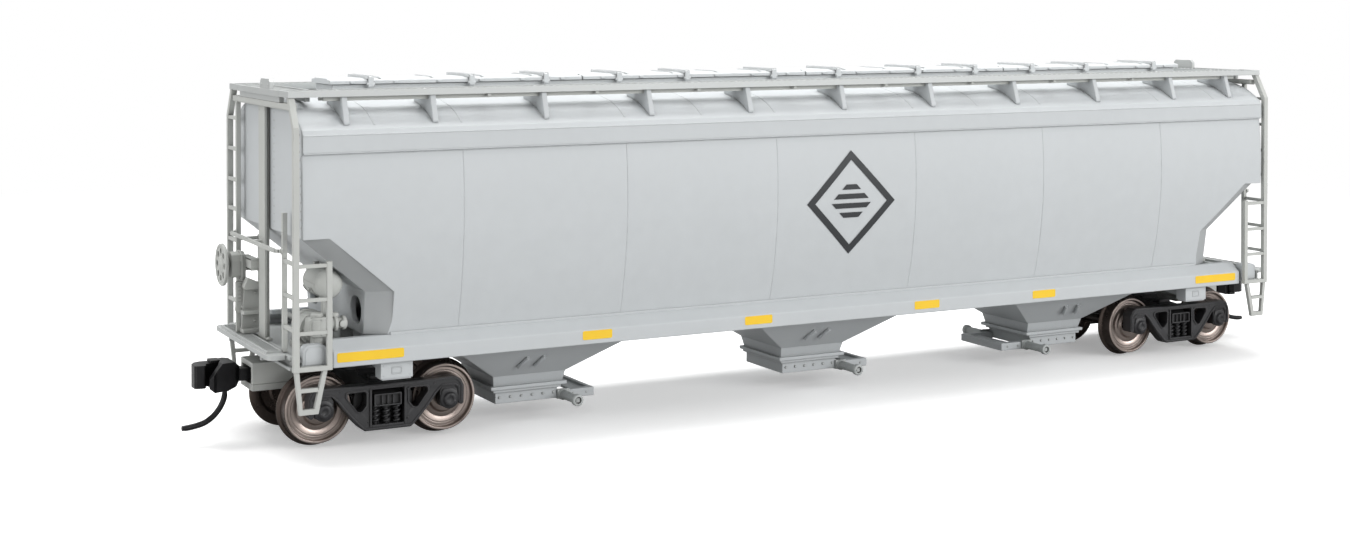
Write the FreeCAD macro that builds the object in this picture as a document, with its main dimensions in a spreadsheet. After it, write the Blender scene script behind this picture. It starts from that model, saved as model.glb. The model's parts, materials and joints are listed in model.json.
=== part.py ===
import FreeCAD, Part
import math
import os
import Sketcher

# Three-bay covered hopper car, HO scale (1:87.1) ready-to-run model.
# Frame: +X towards the A end (no handbrake), -X towards the B end (handbrake),
# +Y is the car's left side, +Z up.  Origin: car centre, on top of the rails.
# All sizes in millimetres.  Pieces that come in pairs are modelled at the B end
# or on the right side, and the second is turned half round the Z axis.

V = FreeCAD.Vector
doc = FreeCAD.newDocument("covered_hopper")
sheet = doc.addObject("Spreadsheet::Sheet", "Dims")

# alias, value, note
SIZES = [
    # body
    ("body_half_len", 95.6, "end sheet to car centre"),
    ("shell_wall", 0.9, "moulded wall"),
    ("shell_foot_half", 15.7, "half width where the side sheet meets the sill"),
    ("shell_mid_half", 18.5, "half width at the widest point"),
    ("shell_top_half", 18.0, "half width under the top chord"),
    ("shell_foot_z", 16.9, "bottom of the side sheet"),
    ("shell_mid_z", 33.5, "height of the widest point"),
    ("chord_low_z", 44.7, "underside of the top chord"),
    ("chord_half", 18.6, "half width over the top chord"),
    ("chord_high_z", 47.6, "top of the chord face"),
    ("eave_half", 18.1, "half width at the eave"),
    ("eave_z", 48.4, "eave height"),
    ("shoulder_half", 11.0, "roof break, half width"),
    ("shoulder_z", 51.5, "roof break, height"),
    ("crown_z", 52.6, "roof crown"),
    ("slope_top_z", 32.3, "bottom edge of the end sheet"),
    ("slope_top_x", 91.5, "side sheet, top of the slope cut"),
    ("slope_low_x", 81.1, "side sheet, foot of the slope cut"),
    ("slope_low_z", 23.6, "height of that foot"),
    ("inner_low_x", 84.9, "slope sheet foot, inside the side folds"),
    # sills and floor
    ("sill_half_len", 90.8, "side sill half length"),
    ("sill_out_half", 17.8, "half width over the side sills"),
    ("sill_low_z", 12.9, "side sill bottom"),
    ("sill_knee_z", 15.2, "side sill, top of its upright face"),
    ("center_sill_half", 3.3, "centre sill half width"),
    ("truck_x", 80.5, "truck centre from car centre"),
    # running boards
    ("board_low_z", 53.2, "running board underside"),
    ("board_thick", 0.95, "running board thickness"),
    ("board_out", 16.5, "running board outer edge"),
    ("board_in", 11.5, "running board inner edge"),
    ("board_half_len", 97.2, "running board half length"),
    ("gusset_thick", 0.9, "roof gusset thickness"),
    ("gusset_pitch", 18.6, "spacing of the roof gussets"),
    ("gusset_end_x", 88.5, "last roof gusset"),
    # hatch trough
    ("coaming_half", 4.2, "hatch coaming half width"),
    ("coaming_high_z", 54.5, "hatch coaming top"),
    ("cover_half", 4.8, "hatch cover half width"),
    ("cover_thick", 0.9, "hatch cover thickness"),
    # hopper bays
    ("bay_pitch", 54.3, "spacing of the hopper bays"),
    ("bay_top_x", 15.3, "bay mouth half length"),
    ("bay_top_y", 13.9, "bay mouth half width"),
    ("bay_low_x", 6.4, "bay foot half length"),
    ("bay_low_y", 7.0, "bay foot half width"),
    ("bay_crease_z", 6.9, "height of the bay's crease"),
    ("gate_low_z", 2.3, "gate frame bottom"),
    ("gate_half_wide", 6.25, "gate frame half width"),
    # running gear
    ("wheel_rad", 5.25, "tread radius, 36 inch wheel"),
    ("flange_rad", 5.9, "flange radius"),
    ("wheelbase", 20.4, "truck wheelbase"),
    ("back_half", 7.25, "half the back-to-back distance"),
    ("wheel_wide", 2.8, "wheel width"),
    ("axle_rad", 1.15, "axle radius"),
    ("journal_rad", 0.6, "axle end radius"),
    ("frame_in", 10.5, "side frame inner face"),
    ("frame_out", 12.8, "side frame outer face"),
    # couplers and handbrake
    ("coupler_z", 9.9, "coupler centre height"),
    ("pivot_x", 92.6, "coupler pivot"),
    ("brake_wheel_rad", 3.35, "handbrake wheel radius"),
    ("brake_x", 101.0, "handbrake wheel plane"),
    ("brake_y", 6.7, "handbrake wheel offset"),
    ("brake_z", 26.0, "handbrake wheel height"),
]


class Size:
    """A size with both its value and the expression that names it."""

    def __init__(self, value, text):
        self.v = float(value)
        self.text = text

    def __add__(self, other):
        other = as_size(other)
        return Size(self.v + other.v, "(%s + %s)" % (self.text, other.text))

    def __sub__(self, other):
        other = as_size(other)
        return Size(self.v - other.v, "(%s - %s)" % (self.text, other.text))

    def __mul__(self, other):
        other = as_size(other)
        return Size(self.v * other.v, "(%s * %s)" % (self.text, other.text))

    def __rmul__(self, other):
        return as_size(other) * self

    def __truediv__(self, other):
        other = as_size(other)
        return Size(self.v / other.v, "(%s / %s)" % (self.text, other.text))

    def __neg__(self):
        return Size(-self.v, "(0 - %s)" % self.text)

    @property
    def driven(self):
        return "Dims." in self.text


def as_size(value):
    if isinstance(value, Size):
        return value
    text = ("%.5f" % float(value)).rstrip("0").rstrip(".")
    if text == "-0":
        text = "0"
    return Size(float(text), "(%s)" % text if text.startswith("-") else text)


class Dimensions:
    """Holds one Size per alias of the sheet."""


dim = Dimensions()
for row, (alias, value, note) in enumerate(SIZES, 1):
    sheet.set("A%d" % row, str(value))
    sheet.set("B%d" % row, note)
    sheet.setAlias("A%d" % row, alias)
    setattr(dim, alias, Size(value, "Dims." + alias))
doc.recompute()

PIECES = []
SIDES = (-1, 1)         # -Y and +Y, or -X and +X
ENDS = ("b", "a")
HANDS = ("right", "left")
HALF_TURN = FreeCAD.Rotation(V(0, 0, 1), 180)
GAP = 0.02              # clearance between pieces that meet


# ------------------------------------------------------------------ helpers
def bind(obj, prop, value):
    """Set a property, or tie it to the sheet when it comes from there."""
    value = as_size(value)
    if value.driven:
        obj.setExpression(prop, value.text)
    else:
        setattr(obj, prop, value.v)


def put(obj, x, y, z, rotation=None):
    base = [as_size(value) for value in (x, y, z)]
    obj.Placement = FreeCAD.Placement(V(*[size.v for size in base]),
                                      rotation or FreeCAD.Rotation())
    for axis, size in zip("xyz", base):
        if size.driven:
            obj.setExpression("Placement.Base." + axis, size.text)


def span(side, near, far):
    """The stretch from near to far on one side of the centre, in rising order."""
    return (near, far) if side > 0 else (-far, -near)


def xz_lift(side, near, far):
    """Lift for an XZ_Plane pad that fills near to far on one side."""
    return near if side < 0 else -far


def rect(u0, u1, v0, v1):
    return [(u0, v0), (u1, v0), (u1, v1), (u0, v1)]


def box(label, x0, x1, y0, y1, z0, z1):
    block = doc.addObject("Part::Box", label)
    for prop, low, high in (("Length", x0, x1), ("Width", y0, y1), ("Height", z0, z1)):
        bind(block, prop, as_size(high) - low)
    put(block, x0, y0, z0)
    return block


def boxes(*rows):
    """Boxes from rows of label, x0, x1, y0, y1, z0, z1."""
    return [box(*row) for row in rows]


AXES = {"X": FreeCAD.Rotation(V(0, 0, 1), V(1, 0, 0)),
        "Y": FreeCAD.Rotation(V(0, 0, 1), V(0, 1, 0)),
        "Z": FreeCAD.Rotation(),
        "-Y": FreeCAD.Rotation(V(0, 0, 1), V(0, -1, 0))}


def cylinder(label, radius, length, x, y, z, axis="Z"):
    bar = doc.addObject("Part::Cylinder", label)
    bind(bar, "Radius", radius)
    bind(bar, "Height", length)
    put(bar, x, y, z, AXES[axis])
    return bar


def cylinders(*rows):
    """Cylinders from rows of label, radius, length, x, y, z, axis (Z if left out)."""
    return [cylinder(*row) for row in rows]


def rod(label, start, end, radius):
    """Round bar between two points."""
    start, end = V(*start), V(*end)
    bar = doc.addObject("Part::Cylinder", label)
    bar.Radius = radius
    bar.Height = (end - start).Length
    bar.Placement = FreeCAD.Placement(start, FreeCAD.Rotation(V(0, 0, 1), end - start))
    return bar


def fuse(label, parts):
    whole = doc.addObject("Part::MultiFuse", label)
    whole.Shapes = parts
    whole.Refine = True
    return whole


def cut(label, base, tool):
    rest = doc.addObject("Part::Cut", label)
    rest.Base = base
    rest.Tool = tool
    return rest


def ring(label, outer, inner):
    """One box with another cut out of it."""
    return cut(label, box(label + "_out", *outer), box(label + "_in", *inner))


def group(label, parts):
    compound = doc.addObject("Part::Compound", label)
    compound.Links = parts
    return compound


def finish(obj, turned=False):
    """Count an object as a finished piece; its label names the file."""
    if turned:
        obj.Placement = FreeCAD.Placement(V(0, 0, 0), HALF_TURN)
    PIECES.append(obj)


def finish_pair(build, name, suffixes):
    """Build a piece as modelled, and again turned half round."""
    finish(build(name + "_" + suffixes[0]))
    finish(build(name + "_" + suffixes[1]), turned=True)


def origin_feature(body, role):
    return [f for f in body.Origin.OriginFeatures if f.Role == role][0]


def sketch(body, name, role, points, lift=None):
    """Closed outline on one of the body's own planes.  Each point is
    (u, v) or (u, v, (mu, mv)): then an arc through (mu, mv) leads on."""
    drawing = body.newObject("Sketcher::SketchObject", name)
    drawing.AttachmentSupport = [(origin_feature(body, role), "")]
    drawing.MapMode = "FlatFace"
    if lift is not None:
        lift = as_size(lift)
        drawing.AttachmentOffset = FreeCAD.Placement(V(0, 0, lift.v), FreeCAD.Rotation())
        if lift.driven:
            drawing.setExpression("AttachmentOffset.Base.z", lift.text)
    count = len(points)
    corners = [(as_size(p[0]), as_size(p[1])) for p in points]
    vectors = [V(u.v, v.v, 0) for u, v in corners]
    heads = []      # geometry index, and which of its ends is the start
    for i in range(count):
        start, end = vectors[i], vectors[(i + 1) % count]
        first = 1
        if len(points[i]) > 2:
            arc = Part.Arc(start, V(points[i][2][0], points[i][2][1], 0), end)
            index = drawing.addGeometry(arc, False)
            if (drawing.getPoint(index, 1) - start).Length >= 1e-6:
                first = 2
        else:
            index = drawing.addGeometry(Part.LineSegment(start, end), False)
        heads.append((index, first))
    for i in range(count):
        index, first = heads[i]
        drawing.addConstraint(
            Sketcher.Constraint("Coincident", index, 3 - first, *heads[(i + 1) % count]))
    for i in range(count):
        index, first = heads[i]
        for kind, size in zip(("DistanceX", "DistanceY"), corners[i]):
            c = drawing.addConstraint(Sketcher.Constraint(kind, -1, 1, index, first, size.v))
            if size.driven:
                drawing.setExpression("Constraints[%d]" % c, size.text)
        if len(points[i]) > 2:
            radius = drawing.Geometry[index].Radius
            drawing.addConstraint(Sketcher.Constraint("Radius", index, radius))
    return drawing


def pad(label, role, points, length, lift=None):
    """Body with one outline padded along its plane's normal
    (XY: +Z, YZ: +X, XZ: -Y)."""
    body = doc.addObject("PartDesign::Body", label)
    outline = sketch(body, label + "_outline", role, points, lift)
    feature = body.newObject("PartDesign::Pad", label + "_pad")
    feature.Profile = outline
    bind(feature, "Length", length)
    body.Tip = feature
    return body


def pocket(body, name, role, points, lift=None, length=None, reverse=False):
    """Cut an outline against its plane's normal, right through without a length."""
    outline = sketch(body, name + "_outline", role, points, lift)
    feature = body.newObject("PartDesign::Pocket", name)
    feature.Profile = outline
    if length is None:
        feature.Type = "ThroughAll"
    else:
        bind(feature, "Length", length)
    feature.Reversed = reverse
    body.Tip = feature


# --------------------------------------------------------------- body shell
EAVE_ARC = (15.2, 50.2)         # y, z of the point the roof arc passes through


def section(inset):
    """Cross-section of the body, y and z, in from its skin by inset."""
    foot = dim.shell_foot_half - inset
    mid = dim.shell_mid_half - inset
    top = dim.shell_top_half - inset
    chord = dim.chord_half - inset
    eave = dim.eave_half - inset
    shoulder = dim.shoulder_half - inset * 0.3
    chord_face_z = dim.chord_low_z + 0.4
    eave_z = dim.eave_z - inset * 0.4
    shoulder_z = dim.shoulder_z - inset
    arc_y, arc_z = [value - 0.8 * inset.v for value in EAVE_ARC]
    return [(foot, dim.shell_foot_z, (mid.v, dim.shell_mid_z.v)),
            (top, dim.chord_low_z),
            (chord, chord_face_z),
            (chord, dim.chord_high_z),
            (eave, eave_z, (arc_y, arc_z)),
            (shoulder, shoulder_z, (0, dim.crown_z.v - inset.v)),
            (-shoulder, shoulder_z, (-arc_y, arc_z)),
            (-eave, eave_z),
            (-chord, dim.chord_high_z),
            (-chord, chord_face_z),
            (-top, dim.chord_low_z, (-mid.v, dim.shell_mid_z.v)),
            (-foot, dim.shell_foot_z)]


def shell_solid(label, inset=as_size(0)):
    half = dim.body_half_len - inset
    return pad(label, "YZ_Plane", section(inset), half * 2, lift=-half)


def offset_path(path, distance):
    """Open x-z path moved by distance to its left."""
    lines = []
    for (x0, z0), (x1, z1) in zip(path, path[1:]):
        length = math.hypot(x1 - x0, z1 - z0)
        nx, nz = -(z1 - z0) / length * distance, (x1 - x0) / length * distance
        lines.append(((x0 + nx, z0 + nz), (x1 + nx, z1 + nz)))
    moved = [lines[0][0]]
    for (a, b), (c, d) in zip(lines, lines[1:]):
        r = (b[0] - a[0], b[1] - a[1])
        q = (d[0] - c[0], d[1] - c[1])
        k = ((c[0] - a[0]) * q[1] - (c[1] - a[1]) * q[0]) / (r[0] * q[1] - r[1] * q[0])
        moved.append((a[0] + r[0] * k, a[1] + r[1] * k))
    moved.append(lines[-1][1])
    return moved


def polygon_face(points):
    return Part.Face(Part.makePolygon(points + points[:1]))


CUTTER_FAR_X = -104.0           # beyond the car's end
CUTTER_LOW_Z = 10.0             # below the shell
SLOPE_TOP_HALF = 18.42          # side sheet half width at the slope top
FOLD_WIDTH = 1.9
CUTTER_OVERHANG = 6.0           # how far the cutter stands out past the side sheets


def end_cutter(label, distance, turned):
    """The space beyond the slope sheet at one end.  The flat slope sheet lies
    between the side folds; each fold leads out to the side sheet's cut edge."""
    top_x, top_z = dim.slope_top_x.v, dim.slope_top_z.v
    low_x, low_z = dim.slope_low_x.v, dim.slope_low_z.v
    flat_top_x, flat_low_x = dim.body_half_len.v - 0.2, dim.inner_low_x.v
    fall = (top_z - low_z) / (top_x - low_x)
    side_path = offset_path([(CUTTER_FAR_X, top_z), (-top_x, top_z), (-low_x, low_z),
                             (-low_x, CUTTER_LOW_Z)], distance)
    flat_path = offset_path([(CUTTER_FAR_X, top_z), (-flat_top_x, top_z),
                             (-flat_low_x, top_z - fall * (flat_top_x - flat_low_x)),
                             (-flat_low_x, CUTTER_LOW_Z)], distance)
    foot_half, foot_z = dim.shell_foot_half.v + 0.25, dim.shell_foot_z.v

    def half_width(z, inset):
        # the side sheet, taken as straight between foot and slope top
        k = (z - foot_z) / (top_z - foot_z)
        return foot_half + k * (SLOPE_TOP_HALF - foot_half) - inset

    rings = []
    for path, side, inset in ((side_path, -1, -CUTTER_OVERHANG), (side_path, -1, 0.0),
                              (flat_path, -1, FOLD_WIDTH), (flat_path, 1, FOLD_WIDTH),
                              (side_path, 1, 0.0), (side_path, 1, -CUTTER_OVERHANG)):
        closed = path + [(CUTTER_FAR_X, path[-1][1])]
        rings.append([V(x, side * half_width(z, inset), z) for x, z in closed])
    faces = [polygon_face(rings[0]), polygon_face(rings[-1])]
    count = len(rings[0])
    for near, far in zip(rings, rings[1:]):
        for i in range(count):
            j = (i + 1) % count
            faces.append(polygon_face([near[i], near[j], far[j], far[i]]))
    solid = Part.Solid(Part.Shell(faces))
    if solid.Volume < 0:
        solid.reverse()
    cutter = doc.addObject("Part::Feature", label)
    cutter.Shape = solid
    if turned:
        cutter.Placement = FreeCAD.Placement(V(0, 0, 0), HALF_TURN)
    return cutter


OVAL_X, OVAL_Y, OVAL_Z = 84.5, 10.6, 20.2
OVAL_RADIUS = 2.1
OVAL_STRETCH = 0.5              # half the straight part of the oval
OVAL_REACH = 2                  # half the depth of the cut


def body_shell():
    skin = shell_solid("skin")
    hollow = shell_solid("hollow", dim.shell_wall)
    wall = dim.shell_wall.v
    outer_cuts = fuse("slope_cuts", [end_cutter("slope_cut_b", 0.0, False),
                                     end_cutter("slope_cut_a", 0.0, True)])
    inner_cuts = fuse("slope_cuts_in", [end_cutter("slope_in_b", wall, False),
                                        end_cutter("slope_in_a", wall, True)])
    raw = cut("shell_raw", cut("shell_outside", skin, outer_cuts),
              cut("shell_inside", hollow, inner_cuts))
    # oval holes through the upright foot of each slope sheet
    ovals = []
    for end in SIDES:
        x = end * OVAL_X
        for side in SIDES:
            y = side * OVAL_Y
            for k in (-OVAL_STRETCH, OVAL_STRETCH):
                ovals.append(cylinder("oval", OVAL_RADIUS, 2 * OVAL_REACH,
                                      x - OVAL_REACH, y + k, OVAL_Z, "X"))
            ovals.append(box("oval_mid", x - OVAL_REACH, x + OVAL_REACH,
                             y - OVAL_STRETCH, y + OVAL_STRETCH,
                             OVAL_Z - OVAL_RADIUS, OVAL_Z + OVAL_RADIUS))
    return cut("body_shell", raw, fuse("ovals", ovals))


finish(body_shell())

# floor that closes the shell's open bottom; outline in x, y
FLOOR_THICK = 1.0
FLOOR_OUTLINE = [(-83.8, -13.8), (-82.2, -14.6), (82.2, -14.6), (83.8, -13.8),
                 (83.8, 13.8), (82.2, 14.6), (-82.2, 14.6), (-83.8, 13.8)]
finish(pad("floor_plate", "XY_Plane", FLOOR_OUTLINE, FLOOR_THICK, lift=dim.shell_foot_z))

# steel ballast bar on the floor
BALLAST_HALF_LEN, BALLAST_HALF_WIDE, BALLAST_THICK = 60, 12, 2.0
ballast_z = dim.shell_foot_z + FLOOR_THICK
finish(box("ballast_weight", -BALLAST_HALF_LEN, BALLAST_HALF_LEN,
           -BALLAST_HALF_WIDE, BALLAST_HALF_WIDE, ballast_z, ballast_z + BALLAST_THICK))

# -------------------------------------------------------------------- sills
sill_top_z = dim.shell_foot_z - GAP


def side_sill(label):
    out, low, knee = dim.sill_out_half, dim.sill_low_z, dim.sill_knee_z
    ledge_z = dim.shell_foot_z - 0.8
    profile = [(-out, low), (-out + 0.9, low), (-out + 0.9, knee - 0.35), (-15.6, ledge_z),
               (-14.7, ledge_z), (-14.7, sill_top_z), (-15.85, sill_top_z), (-out, knee)]
    return pad(label, "YZ_Plane", profile, dim.sill_half_len * 2, lift=-dim.sill_half_len)


finish_pair(side_sill, "side_sill", HANDS)


def center_sill():
    """Deep along the middle, lower and shallow under the end decks, with a
    closed hollow and the screw holes."""
    half, wall = dim.center_sill_half, 0.9
    hollow_half_len, hollow_deep = 70, 2.1
    hollow_top_z = dim.shell_foot_z - wall
    # x, z
    profile = [(-95.9, 11.95), (-87.0, 11.95), (-85.1, 12.97), (85.1, 12.97),
               (87.0, 11.95), (95.9, 11.95), (95.9, 13.85), (85.05, 13.85),
               (85.05, sill_top_z), (-85.05, sill_top_z), (-85.05, 13.85), (-95.9, 13.85)]
    solid = pad("center_sill_solid", "XZ_Plane", profile, half * 2, lift=-half)
    pocket(solid, "center_hollow", "YZ_Plane",
           rect(-half + wall, half - wall, hollow_top_z - hollow_deep, hollow_top_z),
           lift=-hollow_half_len, length=2 * hollow_half_len, reverse=True)
    bores = [cylinder("draft_hole", 0.6, 3.0, s * dim.pivot_x, 0, 11.5) for s in SIDES]
    bores += [cylinder("draft_hole_king", 0.8, 1.2, s * dim.truck_x, 0, 12.5) for s in SIDES]
    return cut("center_sill", solid, fuse("center_sill_bores", bores))


finish(center_sill())


def body_bolster(label):
    """Body bolster with centre plate and the pads under the side sills."""
    x = -dim.truck_x
    web_half, haunch_half, pad_half = 2.4, 1.6, 2.55
    web_in, web_out = dim.center_sill_half + GAP, 14.65
    low_z = 10.35
    parts = []
    for s in SIDES:
        web = [(s * web_in, 13.0), (s * web_out, 13.0), (s * web_out, 16.86), (s * web_in, 16.86)]
        haunch = [(s * 4.4, 11.9), (s * 14.4, 10.8), (s * 14.4, 13.05), (s * 4.4, 13.05)]
        parts.append(pad("bolster_web", "YZ_Plane", web, 2 * web_half, lift=x - web_half))
        parts.append(box("bolster_pad", x - pad_half, x + pad_half, *span(s, 14.3, 16.85),
                         low_z, 14.6))
        parts.append(pad("bolster_haunch", "YZ_Plane", haunch, 2 * haunch_half,
                         lift=x - haunch_half))
    parts.append(box("bolster_tie", x - web_half, x + web_half, -14.6, 14.6, 12.1, 12.95))
    parts.append(cylinder("center_plate", 3.9, 2.6, x, 0, low_z))
    return cut(label, fuse(label + "_solid", parts), cylinder("king_hole", 0.8, 4, x, 0, 9.5))


finish_pair(body_bolster, "body_bolster", ENDS)

# ----------------------------------------------------------- running boards
board_top_z = dim.board_low_z + dim.board_thick


def running_board(label):
    half, out, inn = dim.board_half_len, dim.board_out, dim.board_in
    end_rim, side_rim, recess_deep = 0.6, 0.55, 0.35
    slab = pad(label, "XY_Plane", rect(-half, half, -out, -inn), dim.board_thick,
               lift=dim.board_low_z)
    pocket(slab, "tread_recess", "XY_Plane",
           rect(-half + end_rim, half - end_rim, -out + side_rim, -inn - side_rim),
           lift=board_top_z, length=recess_deep)
    return slab


finish_pair(running_board, "running_board", HANDS)


def end_board(label):
    """Crossover walk between the two long boards, with a raised toe board."""
    x, half = -dim.board_half_len, dim.board_in - GAP
    low_z, top_z = dim.board_low_z, board_top_z
    wide = 5.2
    return fuse(label, boxes(
        ("cross_slab", x, x + wide, -half, half, low_z, top_z),
        ("cross_edge", x, x + 0.5, -half, half, low_z - 0.9, top_z),
        ("cross_inner", x + 4.6, x + wide, -half, half, low_z - 0.6, top_z),
        ("toe_board", x + 0.1, x + 0.8, -6.4, -1.2, top_z, top_z + 1.5),
        ("toe_foot", x + 0.1, x + 2.4, -6.4, -1.2, top_z, top_z + 0.3)))


finish_pair(end_board, "end_running_board", ENDS)


def roof_gussets():
    """Gussets under the running boards, trimmed to the roof's own curve."""
    thick = dim.gusset_thick
    # y, z
    fin = [(-16.2, dim.board_low_z), (-17.45, 49.35), (-17.0, 48.0), (-9.0, 50.0),
           (-9.0, dim.board_low_z)]
    stations = [dim.gusset_pitch * k for k in range(-4, 5)]
    stations += [dim.gusset_end_x * s for s in SIDES]
    right = group("fins_right", [pad("gusset", "YZ_Plane", fin, thick, lift=x - thick / 2)
                                 for x in stations])
    left = doc.addObject("Part::Mirroring", "fins_left")
    left.Source = right
    left.Base = V(0, 0, 0)
    left.Normal = V(0, 1, 0)
    return cut("roof_gussets", group("fins", [right, left]), shell_solid("skin_trim"))


finish(roof_gussets())


# ------------------------------------------------------------- hatch trough
def hatch_coaming():
    """One long coaming on the roof crown."""
    half_len, half, wall = 86.5, dim.coaming_half, 0.8
    hole_len, hole_half = half_len - wall, half - wall
    top_z = dim.coaming_high_z
    frame = ring("coaming", (-half_len, half_len, -half, half, 51.0, top_z),
                 (-hole_len, hole_len, -hole_half, hole_half, 50.0, top_z + 1))
    return cut("hatch_coaming", frame, shell_solid("skin_trim2"))


finish(hatch_coaming())

COVER_JOINTS = [-87.2, -43.7, 0.0, 43.7, 87.2]         # x
COVER_GAP = 0.3
BATTEN_STATIONS = (6.7, 24.0, 37.0, 50.4, 63.5, 80.5)   # x, either side of the centre


def hatch_covers():
    half, low_z = dim.cover_half, dim.coaming_high_z
    edge_z, top_z = low_z + dim.cover_thick * 0.6, low_z + dim.cover_thick
    bevel = 1.6
    profile = [(-half, low_z), (half, low_z), (half, edge_z), (half - bevel, top_z),
               (-half + bevel, top_z), (-half, edge_z)]
    return group("hatch_covers", [
        pad("cover", "YZ_Plane", profile, end - start - COVER_GAP, lift=start + COVER_GAP / 2)
        for start, end in zip(COVER_JOINTS, COVER_JOINTS[1:])])


def hatch_battens():
    """Bars across the covers, with a leg down each side."""
    half, bar_half = dim.cover_half, 0.55
    top_z = dim.coaming_high_z + dim.cover_thick
    bars = []
    for x in [s * station for s in SIDES for station in BATTEN_STATIONS]:
        x_span = (x - bar_half, x + bar_half)
        bars.append(fuse("batten_bar", boxes(
            ("batten", *x_span, -half - 0.45, half + 0.45, top_z, top_z + 0.45),
            *[("batten_leg", *x_span, *span(s, half + 0.05, half + 0.45),
               dim.coaming_high_z - 0.7, top_z + 0.2) for s in SIDES])))
    return group("hatch_battens", bars)


finish(hatch_covers())
finish(hatch_battens())

# ------------------------------------------------------------- hopper bays
BAYS = (-1, 0, 1)               # in bay pitches from the car centre
FUNNEL_FOOT_Z = 5.2
FLANGE_LOW_Z = 4.65
GATE_LIP_LOW_Z = 4.15


def put_at_bay(obj, k):
    """Stand a piece at its bay; the one towards the A end faces the other way."""
    put(obj, dim.bay_pitch * k, 0, 0, HALF_TURN if k > 0 else None)


def funnel(label, outer, inner):
    """Lofted box and its bore, from stages of half length, half width and z."""
    body = doc.addObject("PartDesign::Body", label)
    for kind, stages in (("Additive", outer), ("Subtractive", inner)):
        outlines = [sketch(body, "%s_%s%d" % (label, kind, i), "XY_Plane",
                           rect(-x, x, -y, y), lift=z)
                    for i, (x, y, z) in enumerate(stages)]
        for start, end in zip(outlines, outlines[1:]):
            loft = body.newObject("PartDesign::%sLoft" % kind, "%s_%s_loft" % (label, kind))
            loft.Profile = start
            loft.Sections = [end]
            loft.Ruled = True
            body.Tip = loft
    return body


def hopper_bay(k):
    label = "hopper_bay_%d" % (k + 2)
    top_x, top_y, low_x, low_y = dim.bay_top_x, dim.bay_top_y, dim.bay_low_x, dim.bay_low_y
    top_z, crease_z = dim.sill_low_z - 0.05, dim.bay_crease_z
    hopper = funnel(label + "_funnel",
                    [(top_x, top_y, top_z), (low_x, low_y, crease_z),
                     (low_x - 0.3, low_y - 0.6, FUNNEL_FOOT_Z)],
                    [(top_x - 1.0, top_y - 1.0, top_z), (low_x - 0.9, low_y - 0.9, crease_z),
                     (low_x - 1.1, low_y - 1.4, FUNNEL_FOOT_Z)])
    flange = ring("bay_flange", (-6.7, 6.7, -7.0, 7.0, FLANGE_LOW_Z, FUNNEL_FOOT_Z),
                  (-5.2, 5.2, -5.5, 5.5, 4, 6))
    # short round ribs on the funnel's side panels
    ribs = [rod("rib", (x - 0.7, s * 9.35, 8.6), (x + 0.2, s * 11.4, 10.36), 0.32)
            for s in SIDES for x in (-2.3, 0.6)]
    bay = fuse(label, [hopper, flange] + ribs)
    put_at_bay(bay, k)
    return bay


def outlet_gate(k):
    """Sliding gate: frame, upper lip, and rails that run out along the car."""
    half, low_z = dim.gate_half_wide, dim.gate_low_z
    rail_end_x, rail_low_z, rail_top_z = 12.0, low_z - 0.2, 3.45
    frame = ring("gate_main", (-5.7, 5.3, -half, half, low_z, GATE_LIP_LOW_Z),
                 (-4.7, 4.3, -half + 1, half - 1, 0, 9))
    lip = ring("gate_lip", (-6.2, 5.8, -half - 0.4, half + 0.4, GATE_LIP_LOW_Z, FLANGE_LOW_Z),
               (-5, 4.9, -5.3, 5.3, 0, 9))
    gate = fuse("outlet_gate_%d" % (k + 2), [frame, lip] + boxes(
        ("gate_slide", -4.7, 4.3, -half + 1, half - 1, 2.9, 3.4),
        ("gate_bar", 11.2, rail_end_x, -half, half, rail_low_z, rail_top_z),
        ("gate_tray", 8.6, 11.3, -half + 0.5, half - 0.5, 2.7, 3.1),
        *[("gate_rail", 5.3, rail_end_x, *span(s, half - 1.2, half), rail_low_z, rail_top_z)
          for s in SIDES]))
    put_at_bay(gate, k)
    return gate


def gate_capstans():
    """Square-socketed operating shafts on both sides of each gate."""
    shaft_x, shaft_z = 6.3, 2.85
    socket_half, socket_y = 0.35, 12.0
    capstans = []
    for k in BAYS:
        x = dim.bay_pitch * k + (-shaft_x if k > 0 else shaft_x)
        for s, axis in ((-1, "-Y"), (1, "Y")):
            root_y = (dim.gate_half_wide + GAP) * s
            tip_y = (dim.gate_half_wide + 5.3) * s
            turned_bar = fuse("capstan_whole", cylinders(
                ("capstan", 0.75, 6.1, x, root_y, shaft_z, axis),
                ("capstan_collar", 0.98, 0.8, x, root_y, shaft_z, axis),
                ("capstan_tip", 0.9, 0.9, x, tip_y, shaft_z, axis)))
            socket = box("capstan_socket", x - socket_half, x + socket_half,
                         s * socket_y - 0.8, s * socket_y + 0.8,
                         shaft_z - socket_half, shaft_z + socket_half)
            capstans.append(cut("capstan_end", turned_bar, socket))
    return group("gate_capstans", capstans)


for k in BAYS:
    finish(hopper_bay(k))
    finish(outlet_gate(k))
finish(gate_capstans())

# ------------------------------------------------------------ end structure
SILL_OUT_X, SILL_IN_X = -97.2, -95.95       # end sill faces
DECK_TOP_Z = 14.4
BOARD_LOW_Z, BOARD_TOP_Z = 14.3, 15.1       # step board outside the end sill
POST_LOW_Z, POST_TOP_Z = 15.02, 51.4


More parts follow.
